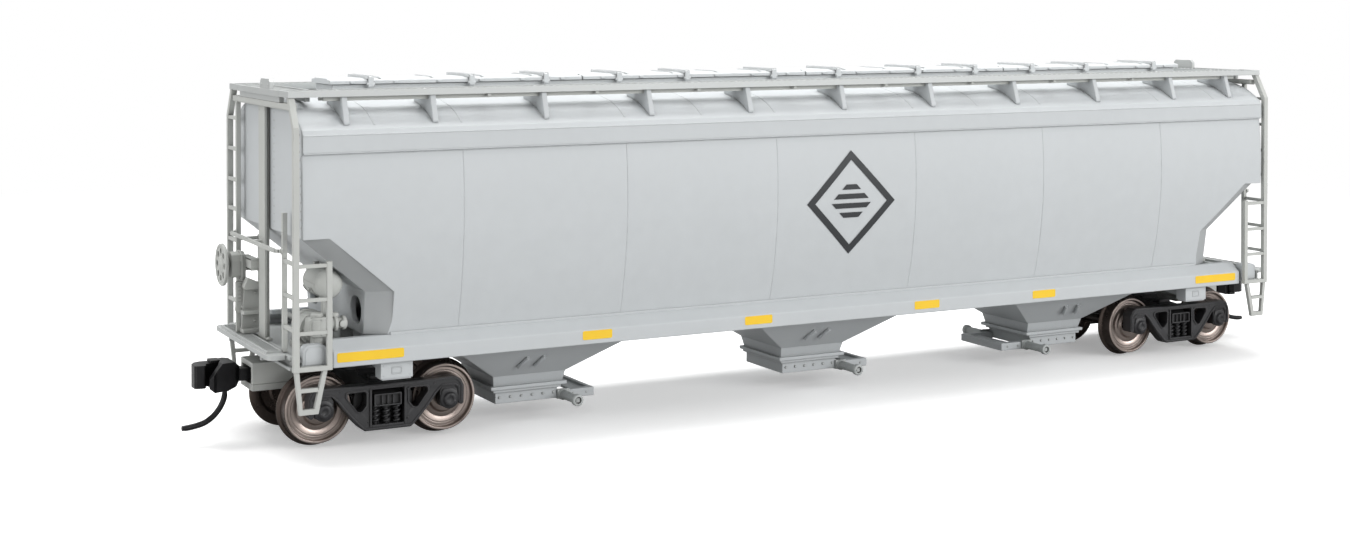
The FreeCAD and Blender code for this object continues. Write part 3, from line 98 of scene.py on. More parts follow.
def finish_material(name, base, rough=0.5, vary=0.05, hue=None, grain=5000.0, bump=0.04, bump_dist=0.00003,
                    edge=None, edge_amount=0.5, edge_width=0.00016, crevice_shade=None, crevice_shade_amount=0.35,
                    metallic=0.0, spec=0.5, brushed=None, coat=0.0, rough_vary=0.12):
    """Procedural finish: colour drift, fine grain, edges lightened as part wear and part painted highlight, painted
    shade in corners.
    """
    m = bpy.data.materials.new(name)
    m.use_nodes = True
    nt = m.node_tree
    nt.nodes.clear()

    def new(kind, x, y, **kw):
        n = nt.nodes.new(kind)
        n.location = (x, y)
        for k, v in kw.items():
            setattr(n, k, v)
        return n

    L = nt.links.new
    out = new("ShaderNodeOutputMaterial", 900, 0)
    bsdf = new("ShaderNodeBsdfPrincipled", 600, 0)
    L(bsdf.outputs[0], out.inputs[0])
    bsdf.inputs["Metallic"].default_value = metallic
    bsdf.inputs["Specular IOR Level"].default_value = spec
    bsdf.inputs["Coat Weight"].default_value = coat
    bsdf.inputs["Coat Roughness"].default_value = 0.35
    tc = new("ShaderNodeTexCoord", -1400, 0)
    wide = new("ShaderNodeTexNoise", -1100, 200)
    wide.inputs["Scale"].default_value = 45.0
    wide.inputs["Detail"].default_value = 3.0
    L(tc.outputs["Object"], wide.inputs["Vector"])
    mid = new("ShaderNodeTexNoise", -1100, 0)
    mid.inputs["Scale"].default_value = 420.0
    mid.inputs["Detail"].default_value = 4.0
    L(tc.outputs["Object"], mid.inputs["Vector"])
    fine = new("ShaderNodeTexNoise", -1100, -250)
    fine.inputs["Scale"].default_value = grain
    fine.inputs["Detail"].default_value = 2.0
    if brushed is not None:
        mp = new("ShaderNodeMapping", -1250, -250)
        mp.inputs["Scale"].default_value = brushed
        L(tc.outputs["Object"], mp.inputs["Vector"])
        L(mp.outputs[0], fine.inputs["Vector"])
    else:
        L(tc.outputs["Object"], fine.inputs["Vector"])
    # colour drift
    darker = tuple(c * (1 - vary) for c in base[:3]) + (1,)
    lighter = tuple(min(1, c * (1 + vary)) for c in base[:3]) + (1,)
    if hue is not None:
        lighter = hue
    mixn = new("ShaderNodeMath", -900, 120, operation="MULTIPLY_ADD")
    mixn.inputs[1].default_value = 0.5
    L(wide.outputs["Fac"], mixn.inputs[0])
    half = new("ShaderNodeMath", -1000, 40, operation="MULTIPLY")
    half.inputs[1].default_value = 0.5
    L(mid.outputs["Fac"], half.inputs[0])
    L(half.outputs[0], mixn.inputs[2])
    ramp = new("ShaderNodeMapRange", -740, 120)
    ramp.inputs["From Min"].default_value = 0.35
    ramp.inputs["From Max"].default_value = 0.65
    L(mixn.outputs[0], ramp.inputs["Value"])
    col = new("ShaderNodeMix", -540, 160, data_type="RGBA")
    col.inputs["A"].default_value = darker
    col.inputs["B"].default_value = lighter
    L(ramp.outputs[0], col.inputs["Factor"])
    last = col.outputs["Result"]
    # bevelled normal gives soft moulded edges and tells edges from faces
    bev = new("ShaderNodeBevel", -1100, -520, samples=4)
    bev.inputs["Radius"].default_value = edge_width
    # edges lightened in broken patches: partly wear, partly a painted highlight
    if edge is not None:
        geo = new("ShaderNodeNewGeometry", -1100, -700)
        dot = new("ShaderNodeVectorMath", -900, -600, operation="DOT_PRODUCT")
        L(bev.outputs[0], dot.inputs[0])
        L(geo.outputs["Normal"], dot.inputs[1])
        er = new("ShaderNodeMapRange", -740, -600)
        er.inputs["From Min"].default_value = 0.995
        er.inputs["From Max"].default_value = 0.86
        er.inputs["To Max"].default_value = edge_amount
        L(dot.outputs["Value"], er.inputs["Value"])
        broken = new("ShaderNodeMath", -560, -560, operation="MULTIPLY")
        L(er.outputs[0], broken.inputs[0])
        br = new("ShaderNodeMapRange", -740, -380)
        br.inputs["From Min"].default_value = 0.3
        br.inputs["From Max"].default_value = 0.6
        br.inputs["To Min"].default_value = 0.45
        L(mid.outputs["Fac"], br.inputs["Value"])
        L(br.outputs[0], broken.inputs[1])
        em = new("ShaderNodeMix", -340, 120, data_type="RGBA")
        em.inputs["B"].default_value = edge
        L(last, em.inputs["A"])
        L(broken.outputs[0], em.inputs["Factor"])
        last = em.outputs["Result"]
    # painted shade: an occlusion mask darkens the colour in crevices and corners
    if crevice_shade is not None:
        ao = new("ShaderNodeAmbientOcclusion", -560, -200, samples=4)
        ao.inputs["Distance"].default_value = 0.0012
        dr = new("ShaderNodeMapRange", -360, -200)
        dr.inputs["From Min"].default_value = 0.9
        dr.inputs["From Max"].default_value = 0.35
        dr.inputs["To Max"].default_value = crevice_shade_amount
        L(ao.outputs["AO"], dr.inputs["Value"])
        dm = new("ShaderNodeMix", -140, 100, data_type="RGBA")
        dm.inputs["B"].default_value = crevice_shade
        L(last, dm.inputs["A"])
        L(dr.outputs[0], dm.inputs["Factor"])
        last = dm.outputs["Result"]
        # painted shade: a wider occlusion mask darkens deep corners over a wider reach
        deep = new("ShaderNodeAmbientOcclusion", -560, -420, samples=6)
        deep.inputs["Distance"].default_value = 0.011
        pr = new("ShaderNodeMapRange", -360, -420)
        pr.inputs["From Min"].default_value = 0.46
        pr.inputs["From Max"].default_value = 0.10
        pr.inputs["To Max"].default_value = crevice_shade_amount * 1.35
        L(deep.outputs["AO"], pr.inputs["Value"])
        pm = new("ShaderNodeMix", 20, 160, data_type="RGBA")
        pm.inputs["B"].default_value = tuple(c * 0.55 for c in crevice_shade[:3]) + (1,)
        L(last, pm.inputs["A"])
        L(pr.outputs[0], pm.inputs["Factor"])
        last = pm.outputs["Result"]
    L(last, bsdf.inputs["Base Color"])
    rr = new("ShaderNodeMapRange", -140, -120)
    rr.inputs["From Min"].default_value = 0.3
    rr.inputs["From Max"].default_value = 0.7
    rr.inputs["To Min"].default_value = max(0.03, rough - rough_vary * 0.5)
    rr.inputs["To Max"].default_value = min(1.0, rough + rough_vary * 0.5)
    L(mid.outputs["Fac"], rr.inputs["Value"])
    L(rr.outputs[0], bsdf.inputs["Roughness"])
    bp = new("ShaderNodeBump", 100, -300)
    bp.inputs["Strength"].default_value = bump
    bp.inputs["Distance"].default_value = bump_dist
    L(fine.outputs["Fac"], bp.inputs["Height"])
    L(bev.outputs[0], bp.inputs["Normal"])
    L(bp.outputs[0], bsdf.inputs["Normal"])
    m.diffuse_color = base
    return m


GREY = finish_material("moulded_grey_paint", lin((201, 205, 207)), rough=0.50, vary=0.02, bump=0.10,
                       edge=lin((226, 229, 230)), edge_amount=0.45, crevice_shade=lin((120, 122, 121)), crevice_shade_amount=0.30,
                       edge_width=0.00022)
END = finish_material("detail_grey_paint", lin((194, 196, 192)), rough=0.52, vary=0.025, bump=0.12,
                      edge=lin((224, 226, 222)), edge_amount=0.5, crevice_shade=lin((112, 112, 108)), crevice_shade_amount=0.40,
                      edge_width=0.00012)
ROOF = finish_material("roof_grey_paint", lin((208, 211, 212)), rough=0.55, vary=0.03, bump=0.14,
                       edge=lin((232, 234, 234)), edge_amount=0.5, crevice_shade=lin((126, 126, 124)), crevice_shade_amount=0.32,
                       edge_width=0.00016)
LID = finish_material("hatch_lid_paint", lin((204, 207, 208)), rough=0.6, vary=0.04, bump=0.16,
                      edge=lin((226, 229, 230)), edge_amount=0.5, crevice_shade=lin((116, 116, 114)), crevice_shade_amount=0.35,
                      edge_width=0.00016)
# painted shade: a darker grey standing in for the shade on the folds beside the slope sheets
FOLD_SHADE = finish_material("fold_painted_shade_paint", lin((172, 175, 176)), rough=0.58, vary=0.03, bump=0.12,
                       edge=lin((214, 217, 218)), edge_amount=0.5, crevice_shade=lin((104, 106, 104)), crevice_shade_amount=0.38,
                       edge_width=0.00022)
WALK = finish_material("etched_walk_paint", lin((196, 199, 198)), rough=0.46, vary=0.03, bump=0.10, metallic=0.25,
                       edge=lin((230, 232, 232)), edge_amount=0.6, crevice_shade=lin((120, 120, 118)), crevice_shade_amount=0.3,
                       edge_width=0.00008)
UNDER = finish_material("underside_grey_paint", lin((190, 194, 193)), rough=0.56, vary=0.04, bump=0.14,
                        edge=lin((214, 217, 216)), edge_amount=0.45, crevice_shade=lin((92, 90, 86)), crevice_shade_amount=0.45,
                        edge_width=0.00016)
BLACK = finish_material("moulded_black_plastic", lin((50, 50, 52)), rough=0.46, vary=0.14, bump=0.22, bump_dist=0.00004,
                        edge=lin((104, 104, 106)), edge_amount=0.55, crevice_shade=lin((26, 25, 24)), crevice_shade_amount=0.5,
                        edge_width=0.00016, grain=3600)
SPRING = finish_material("spring_black_plastic", lin((50, 50, 52)), rough=0.42, vary=0.12, bump=0.02,
                         edge=None, crevice_shade=lin((20, 20, 20)), crevice_shade_amount=0.5,
                         edge_width=0.00008)
COUPLER = finish_material("blackened_coupler_metal", lin((36, 36, 38)), rough=0.34, vary=0.2, bump=0.3, bump_dist=0.00005,
                          metallic=0.55, edge=lin((112, 110, 108)), edge_amount=0.45, crevice_shade=lin((16, 15, 14)),
                          crevice_shade_amount=0.5, edge_width=0.00014, grain=3000)
WHEEL = finish_material("browned_wheel_metal", lin((176, 163, 156)), rough=0.36, vary=0.08, bump=0.06,
                        metallic=0.9, edge=lin((214, 208, 204)), edge_amount=0.5, crevice_shade=lin((58, 50, 46)),
                        crevice_shade_amount=0.4, edge_width=0.00010, rough_vary=0.2, grain=2600)
# painted reflection: treads darker than the wheel face, standing in for the dark surroundings the metal reflects
TREAD_DARK_REFLECTION = finish_material("tread_painted_reflection_metal", lin((92, 82, 77)), rough=0.30, vary=0.12, bump=0.05, metallic=0.85,
                        edge=None)
AXLE = finish_material("blackened_axle_metal", lin((58, 54, 52)), rough=0.34, vary=0.15, bump=0.12, metallic=0.8,
                       edge=lin((140, 132, 126)), edge_amount=0.4, crevice_shade=lin((24, 22, 20)), crevice_shade_amount=0.4,
                       edge_width=0.00008)
STEEL = finish_material("ballast_sheet_steel", lin((120, 120, 122)), rough=0.35, vary=0.08, bump=0.12, metallic=0.95,
                        edge=lin((190, 190, 192)), edge_amount=0.4, brushed=(1, 40, 1), grain=900)
YELLOW = finish_material("yellow_stripe_ink", lin((255, 208, 40)), rough=0.5, vary=0.03, bump=0.10, edge=lin((255, 226, 110)),
                         edge_amount=0.3, edge_width=0.00005)
INK = finish_material("dark_emblem_ink", lin((44, 47, 50)), rough=0.5, vary=0.08, bump=0.10, edge=lin((70, 72, 74)),
                      edge_amount=0.2, edge_width=0.00005)


# ---------------------------------------------------------------- mesh builder
class Kit:
    """Collects mesh parts in millimetres, then makes one object of them."""

    def __init__(self):
        self.bm = bmesh.new()

    def face(self, pts):
        vs = [self.bm.verts.new(p) for p in pts]
        return self.bm.faces.new(vs)

    def hexa(self, a, b):
        """Solid between two rings of the same length."""
        va = [self.bm.verts.new(p) for p in a]
        vb = [self.bm.verts.new(p) for p in b]
        n = len(a)
        self.bm.faces.new(list(reversed(va)))
        self.bm.faces.new(vb)
        for i in range(n):
            j = (i + 1) % n
            self.bm.faces.new([va[i], va[j], vb[j], vb[i]])

    def box(self, x0, x1, y0, y1, z0, z1):
        self.hexa([(x0, y0, z0), (x1, y0, z0), (x1, y1, z0), (x0, y1, z0)],
                  [(x0, y0, z1), (x1, y0, z1), (x1, y1, z1), (x0, y1, z1)])

    def prism(self, pts, axis, lo, hi):
        """Polygon pushed along an axis; pts are the other two coordinates."""
        def at(p, t):
            return {"X": (t, p[0], p[1]), "Y": (p[0], t, p[1]), "Z": (p[0], p[1], t)}[axis]
        self.hexa([at(p, lo) for p in pts], [at(p, hi) for p in pts])

    def bar(self, p, q, w, h, up=(0, 0, 1)):
        """Rectangular bar from p to q, w wide and h deep."""
        p, q, up = Vector(p), Vector(q), Vector(up)
        d = (q - p).normalized()
        s = d.cross(up).normalized() * w / 2
        u = s.cross(d).normalized() * h / 2
        self.hexa([p + s + u, p - s + u, p - s - u, p + s - u], [q + s + u, q - s + u, q - s - u, q + s - u])

    def tube(self, pts, r, n=10, taper=None):
        """Round wire along a path, with flat ends."""
        pts = [Vector(p) for p in pts]
        rings = []
        prev = None
        for i, p in enumerate(pts):
            if i == 0:
                d = pts[1] - pts[0]
            elif i == len(pts) - 1:
                d = pts[-1] - pts[-2]
            else:
                d = (pts[i + 1] - p).normalized() + (p - pts[i - 1]).normalized()
            d.normalize()
            if prev is None:
                ref = Vector((0, 0, 1)) if abs(d.z) < 0.9 else Vector((1, 0, 0))
                s = d.cross(ref).normalized()
            else:
                s = (prev - d * prev.dot(d)).normalized()
            prev = s
            u = d.cross(s)
            k = r if taper is None else r * taper(i / (len(pts) - 1))
            if 0 < i < len(pts) - 1:
                a = (pts[i + 1] - p).normalized().angle((p - pts[i - 1]).normalized())
            rings.append([self.bm.verts.new(p + (s * math.cos(t) + u * math.sin(t)) * k)
                          for t in [2 * math.pi * j / n for j in range(n)]])
        for a, b in zip(rings, rings[1:]):
            for j in range(n):
                k = (j + 1) % n
                self.bm.faces.new([a[j], a[k], b[k], b[j]])
        self.bm.faces.new(list(reversed(rings[0])))
        self.bm.faces.new(rings[-1])

    def lathe(self, prof, centre, axis, n=48):
        """Solid of revolution; prof is (along, radius) pairs, closed on itself."""
        centre, axis = Vector(centre), Vector(axis).normalized()
        ref = Vector((0, 0, 1)) if abs(axis.z) < 0.9 else Vector((1, 0, 0))
        s = axis.cross(ref).normalized()
        u = axis.cross(s)
        rings = []
        for a, r in prof:
            base = centre + axis * a
            if r < 1e-6:
                rings.append([self.bm.verts.new(base)])
            else:
                rings.append([self.bm.verts.new(base + (s * math.cos(t) + u * math.sin(t)) * r)
                              for t in [2 * math.pi * j / n for j in range(n)]])
        m = len(rings)
        for i in range(m):
            a, b = rings[i], rings[(i + 1) % m]
            if i == m - 1 and len(a) == 1 and len(b) == 1:
                continue
            for j in range(n):
                k = (j + 1) % n
                if len(a) == 1 and len(b) == 1:
                    continue
                if len(a) == 1:
                    self.bm.faces.new([a[0], b[k], b[j]])
                elif len(b) == 1:
                    self.bm.faces.new([a[j], a[k], b[0]])
                else:
                    self.bm.faces.new([a[j], a[k], b[k], b[j]])

    def stud(self, p, n, r=0.22, h=0.12, sides=10):
        """Low round rivet head at p, facing n."""
        self.lathe([(-0.05, 0), (-0.05, r), (h * 0.35, r * 0.96), (h * 0.8, r * 0.62), (h, 0)], p, n, sides)

    def bolt(self, p, n, r=0.3, h=0.22):
        """Hexagon head with a washer."""
        self.lathe([(-0.05, 0), (-0.05, r * 1.3), (h * 0.25, r * 1.3), (h * 0.3, r * 1.05), (h, r), (h * 1.12, r * 0.75), (h * 1.12, 0)],
                   p, n, 6)

    def done(self, name, material, body, bevel=0.0, segs=2, sharp=38.0, replaces=()):
        bm = self.bm
        bmesh.ops.recalc_face_normals(bm, faces=bm.faces)
        if bevel:
            es = [e for e in bm.edges if len(e.link_faces) == 2 and e.calc_face_angle(0) > math.radians(28)]
            bmesh.ops.bevel(bm, geom=es, offset=bevel, segments=segs, profile=0.6, affect="EDGES", clamp_overlap=True)
        for f in bm.faces:
            f.smooth = True
        for e in bm.edges:
            if len(e.link_faces) == 2 and e.calc_face_angle(0) > math.radians(sharp):
                e.smooth = False
        bmesh.ops.scale(bm, vec=(MM, MM, MM), verts=bm.verts)
        me = bpy.data.meshes.new(name)
        bm.to_mesh(me)
        bm.free()
        ob = bpy.data.objects.new(name, me)
        scene.collection.objects.link(ob)
        me.materials.append(material)
        wn = ob.modifiers.new("flat_faces", "WEIGHTED_NORMAL")
        wn.keep_sharp = True
        wn.weight = 80
        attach(ob, body)
        if replaces:
            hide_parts(*replaces)
        return ob


def fillet(pts, r, n=5):
    """Polygon with its corners rounded to radius r (one number or one per corner)."""
    out = []
    m = len(pts)
    for i in range(m):
        p0, p1, p2 = Vector(pts[i - 1]), Vector(pts[i]), Vector(pts[(i + 1) % m])
        a, b = p0 - p1, p2 - p1
        la, lb = a.length, b.length
        a.normalize()
        b.normalize()
        ang = a.angle(b)
        rr = r[i] if isinstance(r, (list, tuple)) else r
        if rr < 1e-4 or ang > 3.08:
            out.append((p1.x, p1.y))
            continue
        t = min(rr / math.tan(ang / 2), la * 0.46, lb * 0.46)
        rr = t * math.tan(ang / 2)
        c = p1 + (a + b).normalized() * (rr / math.sin(ang / 2))
        q0, q1 = p1 + a * t - c, p1 + b * t - c
        a0, a1 = math.atan2(q0.y, q0.x), math.atan2(q1.y, q1.x)
        d = (a1 - a0 + math.pi) % (2 * math.pi) - math.pi
        for j in range(n + 1):
            th = a0 + d * j / n
            out.append((c.x + rr * math.cos(th), c.y + rr * math.sin(th)))
    return out


def plate(k, loops, place, thick):
    """Flat plate with holes: loops are an outline then its holes; place maps
    (u, v, w) to a point, w running from 0 to thick."""
    cu = bpy.data.curves.new("plate_outline", "CURVE")
    cu.dimensions = "2D"
    cu.fill_mode = "BOTH"
    cu.extrude = thick / 2
    for loop in loops:
        sp = cu.splines.new("POLY")
        sp.points.add(len(loop) - 1)
        for q, (u, v) in zip(sp.points, loop):
            q.co = (u, v, 0, 1)
        sp.use_cyclic_u = True
    ob = bpy.data.objects.new("plate_outline", cu)
    scene.collection.objects.link(ob)
    me = bpy.data.meshes.new_from_object(ob.evaluated_get(bpy.context.evaluated_depsgraph_get()))
    tmp = bmesh.new()
    tmp.from_mesh(me)
    bmesh.ops.remove_doubles(tmp, verts=tmp.verts, dist=0.002)
    for v in tmp.verts:
        v.co = Vector(place(v.co.x, v.co.y, v.co.z + thick / 2))
    bmesh.ops.recalc_face_normals(tmp, faces=tmp.faces)
    keep = bpy.data.meshes.new("plate_mesh")
    tmp.to_mesh(keep)
    tmp.free()
    k.bm.from_mesh(keep)
    bpy.data.meshes.remove(keep)
    bpy.data.meshes.remove(me)
    bpy.data.objects.remove(ob)
    bpy.data.curves.remove(cu)


def circle3(a, b, c):
    """Circle through three points, as (cx, cy, r)."""
    (x1, y1), (x2, y2), (x3, y3) = a, b, c
    d = 2 * (x1 * (y2 - y3) + x2 * (y3 - y1) + x3 * (y1 - y2))
    ux = ((x1 * x1 + y1 * y1) * (y2 - y3) + (x2 * x2 + y2 * y2) * (y3 - y1) + (x3 * x3 + y3 * y3) * (y1 - y2)) / d
    uy = ((x1 * x1 + y1 * y1) * (x3 - x2) + (x2 * x2 + y2 * y2) * (x1 - x3) + (x3 * x3 + y3 * y3) * (x2 - x1)) / d
    return ux, uy, math.hypot(x1 - ux, y1 - uy)


SIDE = circle3((15.7, 16.9), (18.5, 33.5), (18.0, 44.7))
EAVE = circle3((18.1, 48.4), (15.2, 50.2), (11.0, 51.5))
CROWN = circle3((11.0, 51.5), (0.0, 52.6), (-11.0, 51.5))


def side_y(z):
    """Half width of the body's side sheet at height z."""
    return SIDE[0] + math.sqrt(max(0.0, SIDE[2] ** 2 - (z - SIDE[1]) ** 2))


def roof_z(y):
    """Roof skin height at |y|."""
    y = abs(y)
    c = CROWN if y < 11.0 else EAVE
    return c[1] + math.sqrt(max(0.0, c[2] ** 2 - (y - c[0]) ** 2))


# ---------------------------------------------------------------- carried CAD nodes
def carry(node, material, bevel=None, segs=2):
    """A CAD node whose shape is right: gets its finish, and rolled edges."""
    ob = NODES[node]
    ob.data.materials.clear()
    ob.data.materials.append(material)
    if bevel:
        w = ob.modifiers.new("weld", "WELD")
        w.merge_threshold = 0.000004
        d = ob.modifiers.new("flat", "DECIMATE")
        d.decimate_type = "DISSOLVE"
        d.angle_limit = math.radians(0.6)
        b = ob.modifiers.new("edges", "BEVEL")
        b.width = bevel * MM
        b.segments = segs
        b.limit_method = "ANGLE"
        b.angle_limit = math.radians(32)
        b.use_clamp_overlap = True
        b.harden_normals = False
        b.miter_outer = "MITER_SHARP"
        wn = ob.modifiers.new("flat_faces", "WEIGHTED_NORMAL")
        wn.weight = 80
        wn.keep_sharp = True
    return ob


MATS = {}
for s in frame["record"]["subparts"]:
    MATS[s["node"]] = s["material_slot"]
BY_SLOT = {"body_grey": GREY, "roof_grey": ROOF, "detail_grey": END, "etched_walk": WALK, "black_plastic": BLACK,
           "spring_black": SPRING, "coupler_black": COUPLER, "axle_black": AXLE, "wheel_metal": WHEEL,
           "ballast_steel": STEEL}
SPECIAL = {"center_sill": UNDER, "body_bolster_a": GREY, "body_bolster_b": GREY, "floor_plate": UNDER,
           "roof_gussets": GREY, "end_post_a": END, "end_post_b": END, "gate_capstans": UNDER}
ROLLED = {"body_shell": 0.22, "side_sill_right": 0.14, "side_sill_left": 0.14, "hopper_bay_1": 0.14, "hopper_bay_2": 0.14, "hopper_bay_3": 0.14,
          "outlet_gate_1": 0.08, "outlet_gate_2": 0.08, "outlet_gate_3": 0.08, "coupler_box_b": 0.12, "coupler_box_a": 0.12,
          "coupler_b": 0.3, "coupler_a": 0.3, "knuckle_b": 0.3, "knuckle_a": 0.3, "corner_ladders_b_left": 0.07, "corner_ladders_b_right": 0.07,
          "corner_ladders_a_left": 0.07, "corner_ladders_a_right": 0.07, "body_bolster_b": 0.1, "body_bolster_a": 0.1, "roof_gussets": 0.08,
          "gate_capstans": 0.08, "hatch_coaming": 0.1}
for n in sorted(NODES):
    carry(n, SPECIAL.get(n, BY_SLOT[MATS[n]]), ROLLED.get(n))

# painted shade: the folds beside each slope sheet get a darker tone on those faces, for the shade they lie in
shell = NODES["body_shell"]
shell.data.materials.append(FOLD_SHADE)
to_world = shell.matrix_world
turn = to_world.to_3x3()
for f in shell.data.polygons:
    c = to_world @ f.center
    nrm = (turn @ f.normal).normalized()
    x, y, z = abs(c.x) / MM, abs(c.y) / MM, c.z / MM
    if 81.0 < x < 90.0 and 13.0 < y and 16.5 < z < 27.0 and math.copysign(1, c.x) * nrm.x > 0.06:
        f.material_index = 1

# ---------------------------------------------------------------- body details
def arc(cx, cz, r, a0, a1, n):
    return [(cx + r * math.cos(math.radians(a0 + (a1 - a0) * i / n)), cz + r * math.sin(math.radians(a0 + (a1 - a0) * i / n)))
            for i in range(n + 1)]


def span(a, b, n):
    return [a + (b - a) * i / n for i in range(n + 1)]


SB = nb("body_shell")
SEAMS = (-70.2, -42.15, -14.05, 14.05, 42.15, 70.2)
k = Kit()
for x in SEAMS:
    for s in (-1, 1):
        # weld bead down the side sheet: a low strip that follows its curve
        zs = span(17.0, 44.66, 22)
        ins = [(x - 0.15, s * (side_y(z) - 0.1), z) for z in zs]
        pts = [(x, s * (side_y(z) + 0.045), z) for z in zs]
        ous = [(x + 0.15, s * (side_y(z) - 0.1), z) for z in zs]
        va = [[k.bm.verts.new(p) for p in row] for row in (ins, pts, ous)]
        for r0, r1 in zip(va, va[1:]):
            for i in range(len(zs) - 1):
                k.bm.faces.new([r0[i], r0[i + 1], r1[i + 1], r1[i]])
for x in (-84.2,) + SEAMS + (84.2, -56.1, -28.1, 0.0, 28.1, 56.1):
    # roof sheet joints
    ys = span(-17.4, 17.4, 40)
    va = [[k.bm.verts.new((x + dx, y, roof_z(y) + dz)) for y in ys] for dx, dz in ((-0.2, -0.08), (-0.1, 0.07), (0.1, 0.07), (0.2, -0.08))]
    for r0, r1 in zip(va, va[1:]):
        for i in range(len(ys) - 1):
            k.bm.faces.new([r0[i], r0[i + 1], r1[i + 1], r1[i]])
k.done("shell_weld_seams", GREY, "car_body", sharp=60)

k = Kit()
HX = SB[1] - 0.12
for s in (-1, 1):
    # lips of the top chord and the lap where the side sheet meets the sill
    k.tube([(-HX, s * 18.56, 47.62), (HX, s * 18.56, 47.62)], 0.13, 8)
    k.tube([(-HX, s * 18.5, 44.98), (HX, s * 18.5, 44.98)], 0.13, 8)
    k.prism([(s * 15.5, 16.7), (s * 15.92, 16.72), (s * 15.98, 17.2), (s * 15.6, 17.3)], "X", -SB[1] + 14.4, SB[1] - 14.4)
# corner angles of the end sheets
for e in (-1, 1):
    for s in (-1, 1):
        k.tube([(e * (SB[1] - 0.02), s * (side_y(z) - 0.18), z) for z in span(32.4, 44.5, 8)], 0.16, 8)
k.done("shell_chord_lips", GREY, "car_body", bevel=0.03, segs=1)

# rivets along the end sheets' stiffeners
k = Kit()
for e in (-1, 1):
    for y in (-3.6, 3.6):
        for z in span(33.6, 50.4, 14):
            k.stud((e * (SB[1] + 0.0), y, z), (e, 0, 0), 0.13, 0.09, 8)
    for s in (-1, 1):
        for z in span(34.0, 49.0, 12):
            yy = s * (side_y(min(z, 44.7)) - 1.0 if z < 48.4 else 15.6)
            k.stud((e * (SB[1] + 0.0), yy, z), (e, 0, 0), 0.13, 0.09, 8)
k.done("end_sheet_rivets", END, "car_body", sharp=50)

# ---------------------------------------------------------------- sill stripes
k = Kit()
for s in (-1, 1):
    for x0, x1 in ((-90.2, -79.7), (-49.8, -44.6), (-20.0, -14.7), (14.3, 19.6), (40.3, 45.5), (79.5, 89.7)):
        a, b = sorted((s * 17.76, s * 17.835))
        m = 0.18
        z0, z1 = 13.66, 15.08
        pts = [(x0 + m, z0), (x1 - m, z0), (x1, z0 + m), (x1, z1 - m), (x1 - m, z1), (x0 + m, z1), (x0, z1 - m), (x0, z0 + m)]
        k.prism(pts, "Y", a, b)
k.done("sill_stripes", YELLOW, "car_body")

# ---------------------------------------------------------------- side mark: plain nested diamonds
k = Kit()


def patch(s, zs, xl, xr, proud=0.07):
    """Ink on the curved side sheet between two x limits, row by row."""
    rows = []
    for z in zs:
        y = side_y(z) + proud
        a, b = xl(z), xr(z)
        rows.append([(a + (b - a) * i / 4, s * y, z) for i in range(5)])
    vs = [[k.bm.verts.new(p) for p in r] for r in rows]
    for a, b in zip(vs, vs[1:]):
        for i in range(4):
            k.bm.faces.new([a[i], a[i + 1], b[i + 1], b[i]])


for s in (-1, 1):
    mx, mz, R1, R2, R3 = 0.6, 33.2, 8.9, 7.3, 4.1
    for sg in (-1, 1):
        patch(s, span(mz - R1, mz - R2, 6), lambda z: mx, lambda z: mx + sg * (R1 - abs(z - mz)))
        patch(s, span(mz + R2, mz + R1, 6), lambda z: mx, lambda z: mx + sg * (R1 - abs(z - mz)))
        patch(s, span(mz - R2, mz + R2, 40), lambda z: mx + sg * (R2 - abs(z - mz)), lambda z: mx + sg * (R1 - abs(z - mz)))
    for q, h in ((-2.6, 0.55), (-1.0, 0.55), (0.6, 0.55), (2.2, 0.55)):
        patch(s, span(mz + q, mz + q + h * 1.6, 4), lambda z: mx - max(0.05, R3 - abs(z - mz)), lambda z: mx + max(0.05, R3 - abs(z - mz)))
ink = k.done("side_mark", INK, "car_body", sharp=60)

# ---------------------------------------------------------------- walkways
def mesh_deck(k, x0, x1, y0, y1, z0, z1, pitch=1.15, wide=0.26, lines=3):
    """Expanded-metal walkway: rim, lengthwise bars and slanted strips."""
    rim = 0.38
    k.box(x0, x1, y0, y0 + rim, z0, z1)
    k.box(x0, x1, y1 - rim, y1, z0, z1)
    k.box(x0, x0 + rim, y0 + rim, y1 - rim, z0, z1)
    k.box(x1 - rim, x1, y0 + rim, y1 - rim, z0, z1)
    zt = z1 - 0.12
    for i in range(1, lines + 1):
        y = y0 + (y1 - y0) * i / (lines + 1)
        k.box(x0 + rim, x1 - rim, y - 0.11, y + 0.11, zt - 0.42, zt - 0.05)
    w = (y1 - y0) - 2 * rim
    a, b = y0 + rim, y1 - rim
    x = x0 + rim - w + 0.3
    while x < x1 - rim - 0.3:
        # strip from (x, a) to (x + w, b), clipped to the deck's ends
        p, q = [x, a], [x + w, b]
        if p[0] < x0 + rim:
            d = x0 + rim - p[0]
            p = [x0 + rim, a + d]
        if q[0] > x1 - rim:
            d = q[0] - (x1 - rim)
            q = [x1 - rim, b - d]
        if q[1] - p[1] > 0.4:
            k.bar((p[0], p[1], zt - 0.15), (q[0], q[1], zt - 0.15), wide, 0.26)
        x += pitch


for n, mat in (("running_board_right", WALK), ("running_board_left", WALK)):
    x0, x1, y0, y1, z0, z1 = nb(n)
    k = Kit()
    mesh_deck(k, x0, x1, y0, y1, z0, z1)
    # splice plates and hold-down bolts over the gussets
    for x in (-88.5, -74.4, -55.8, -37.2, -18.6, 0, 18.6, 37.2, 55.8, 74.4, 88.5):
        k.box(x - 0.5, x + 0.5, y0 + 0.38, y1 - 0.38, z0 + 0.1, z0 + 0.4)
        for y in (y0 + 1.0, y1 - 1.0):
            k.stud((x, y, z1 - 0.16), (0, 0, 1), 0.2, 0.12, 8)
    k.done(n + "_mesh", mat, "car_body", replaces=(n,))

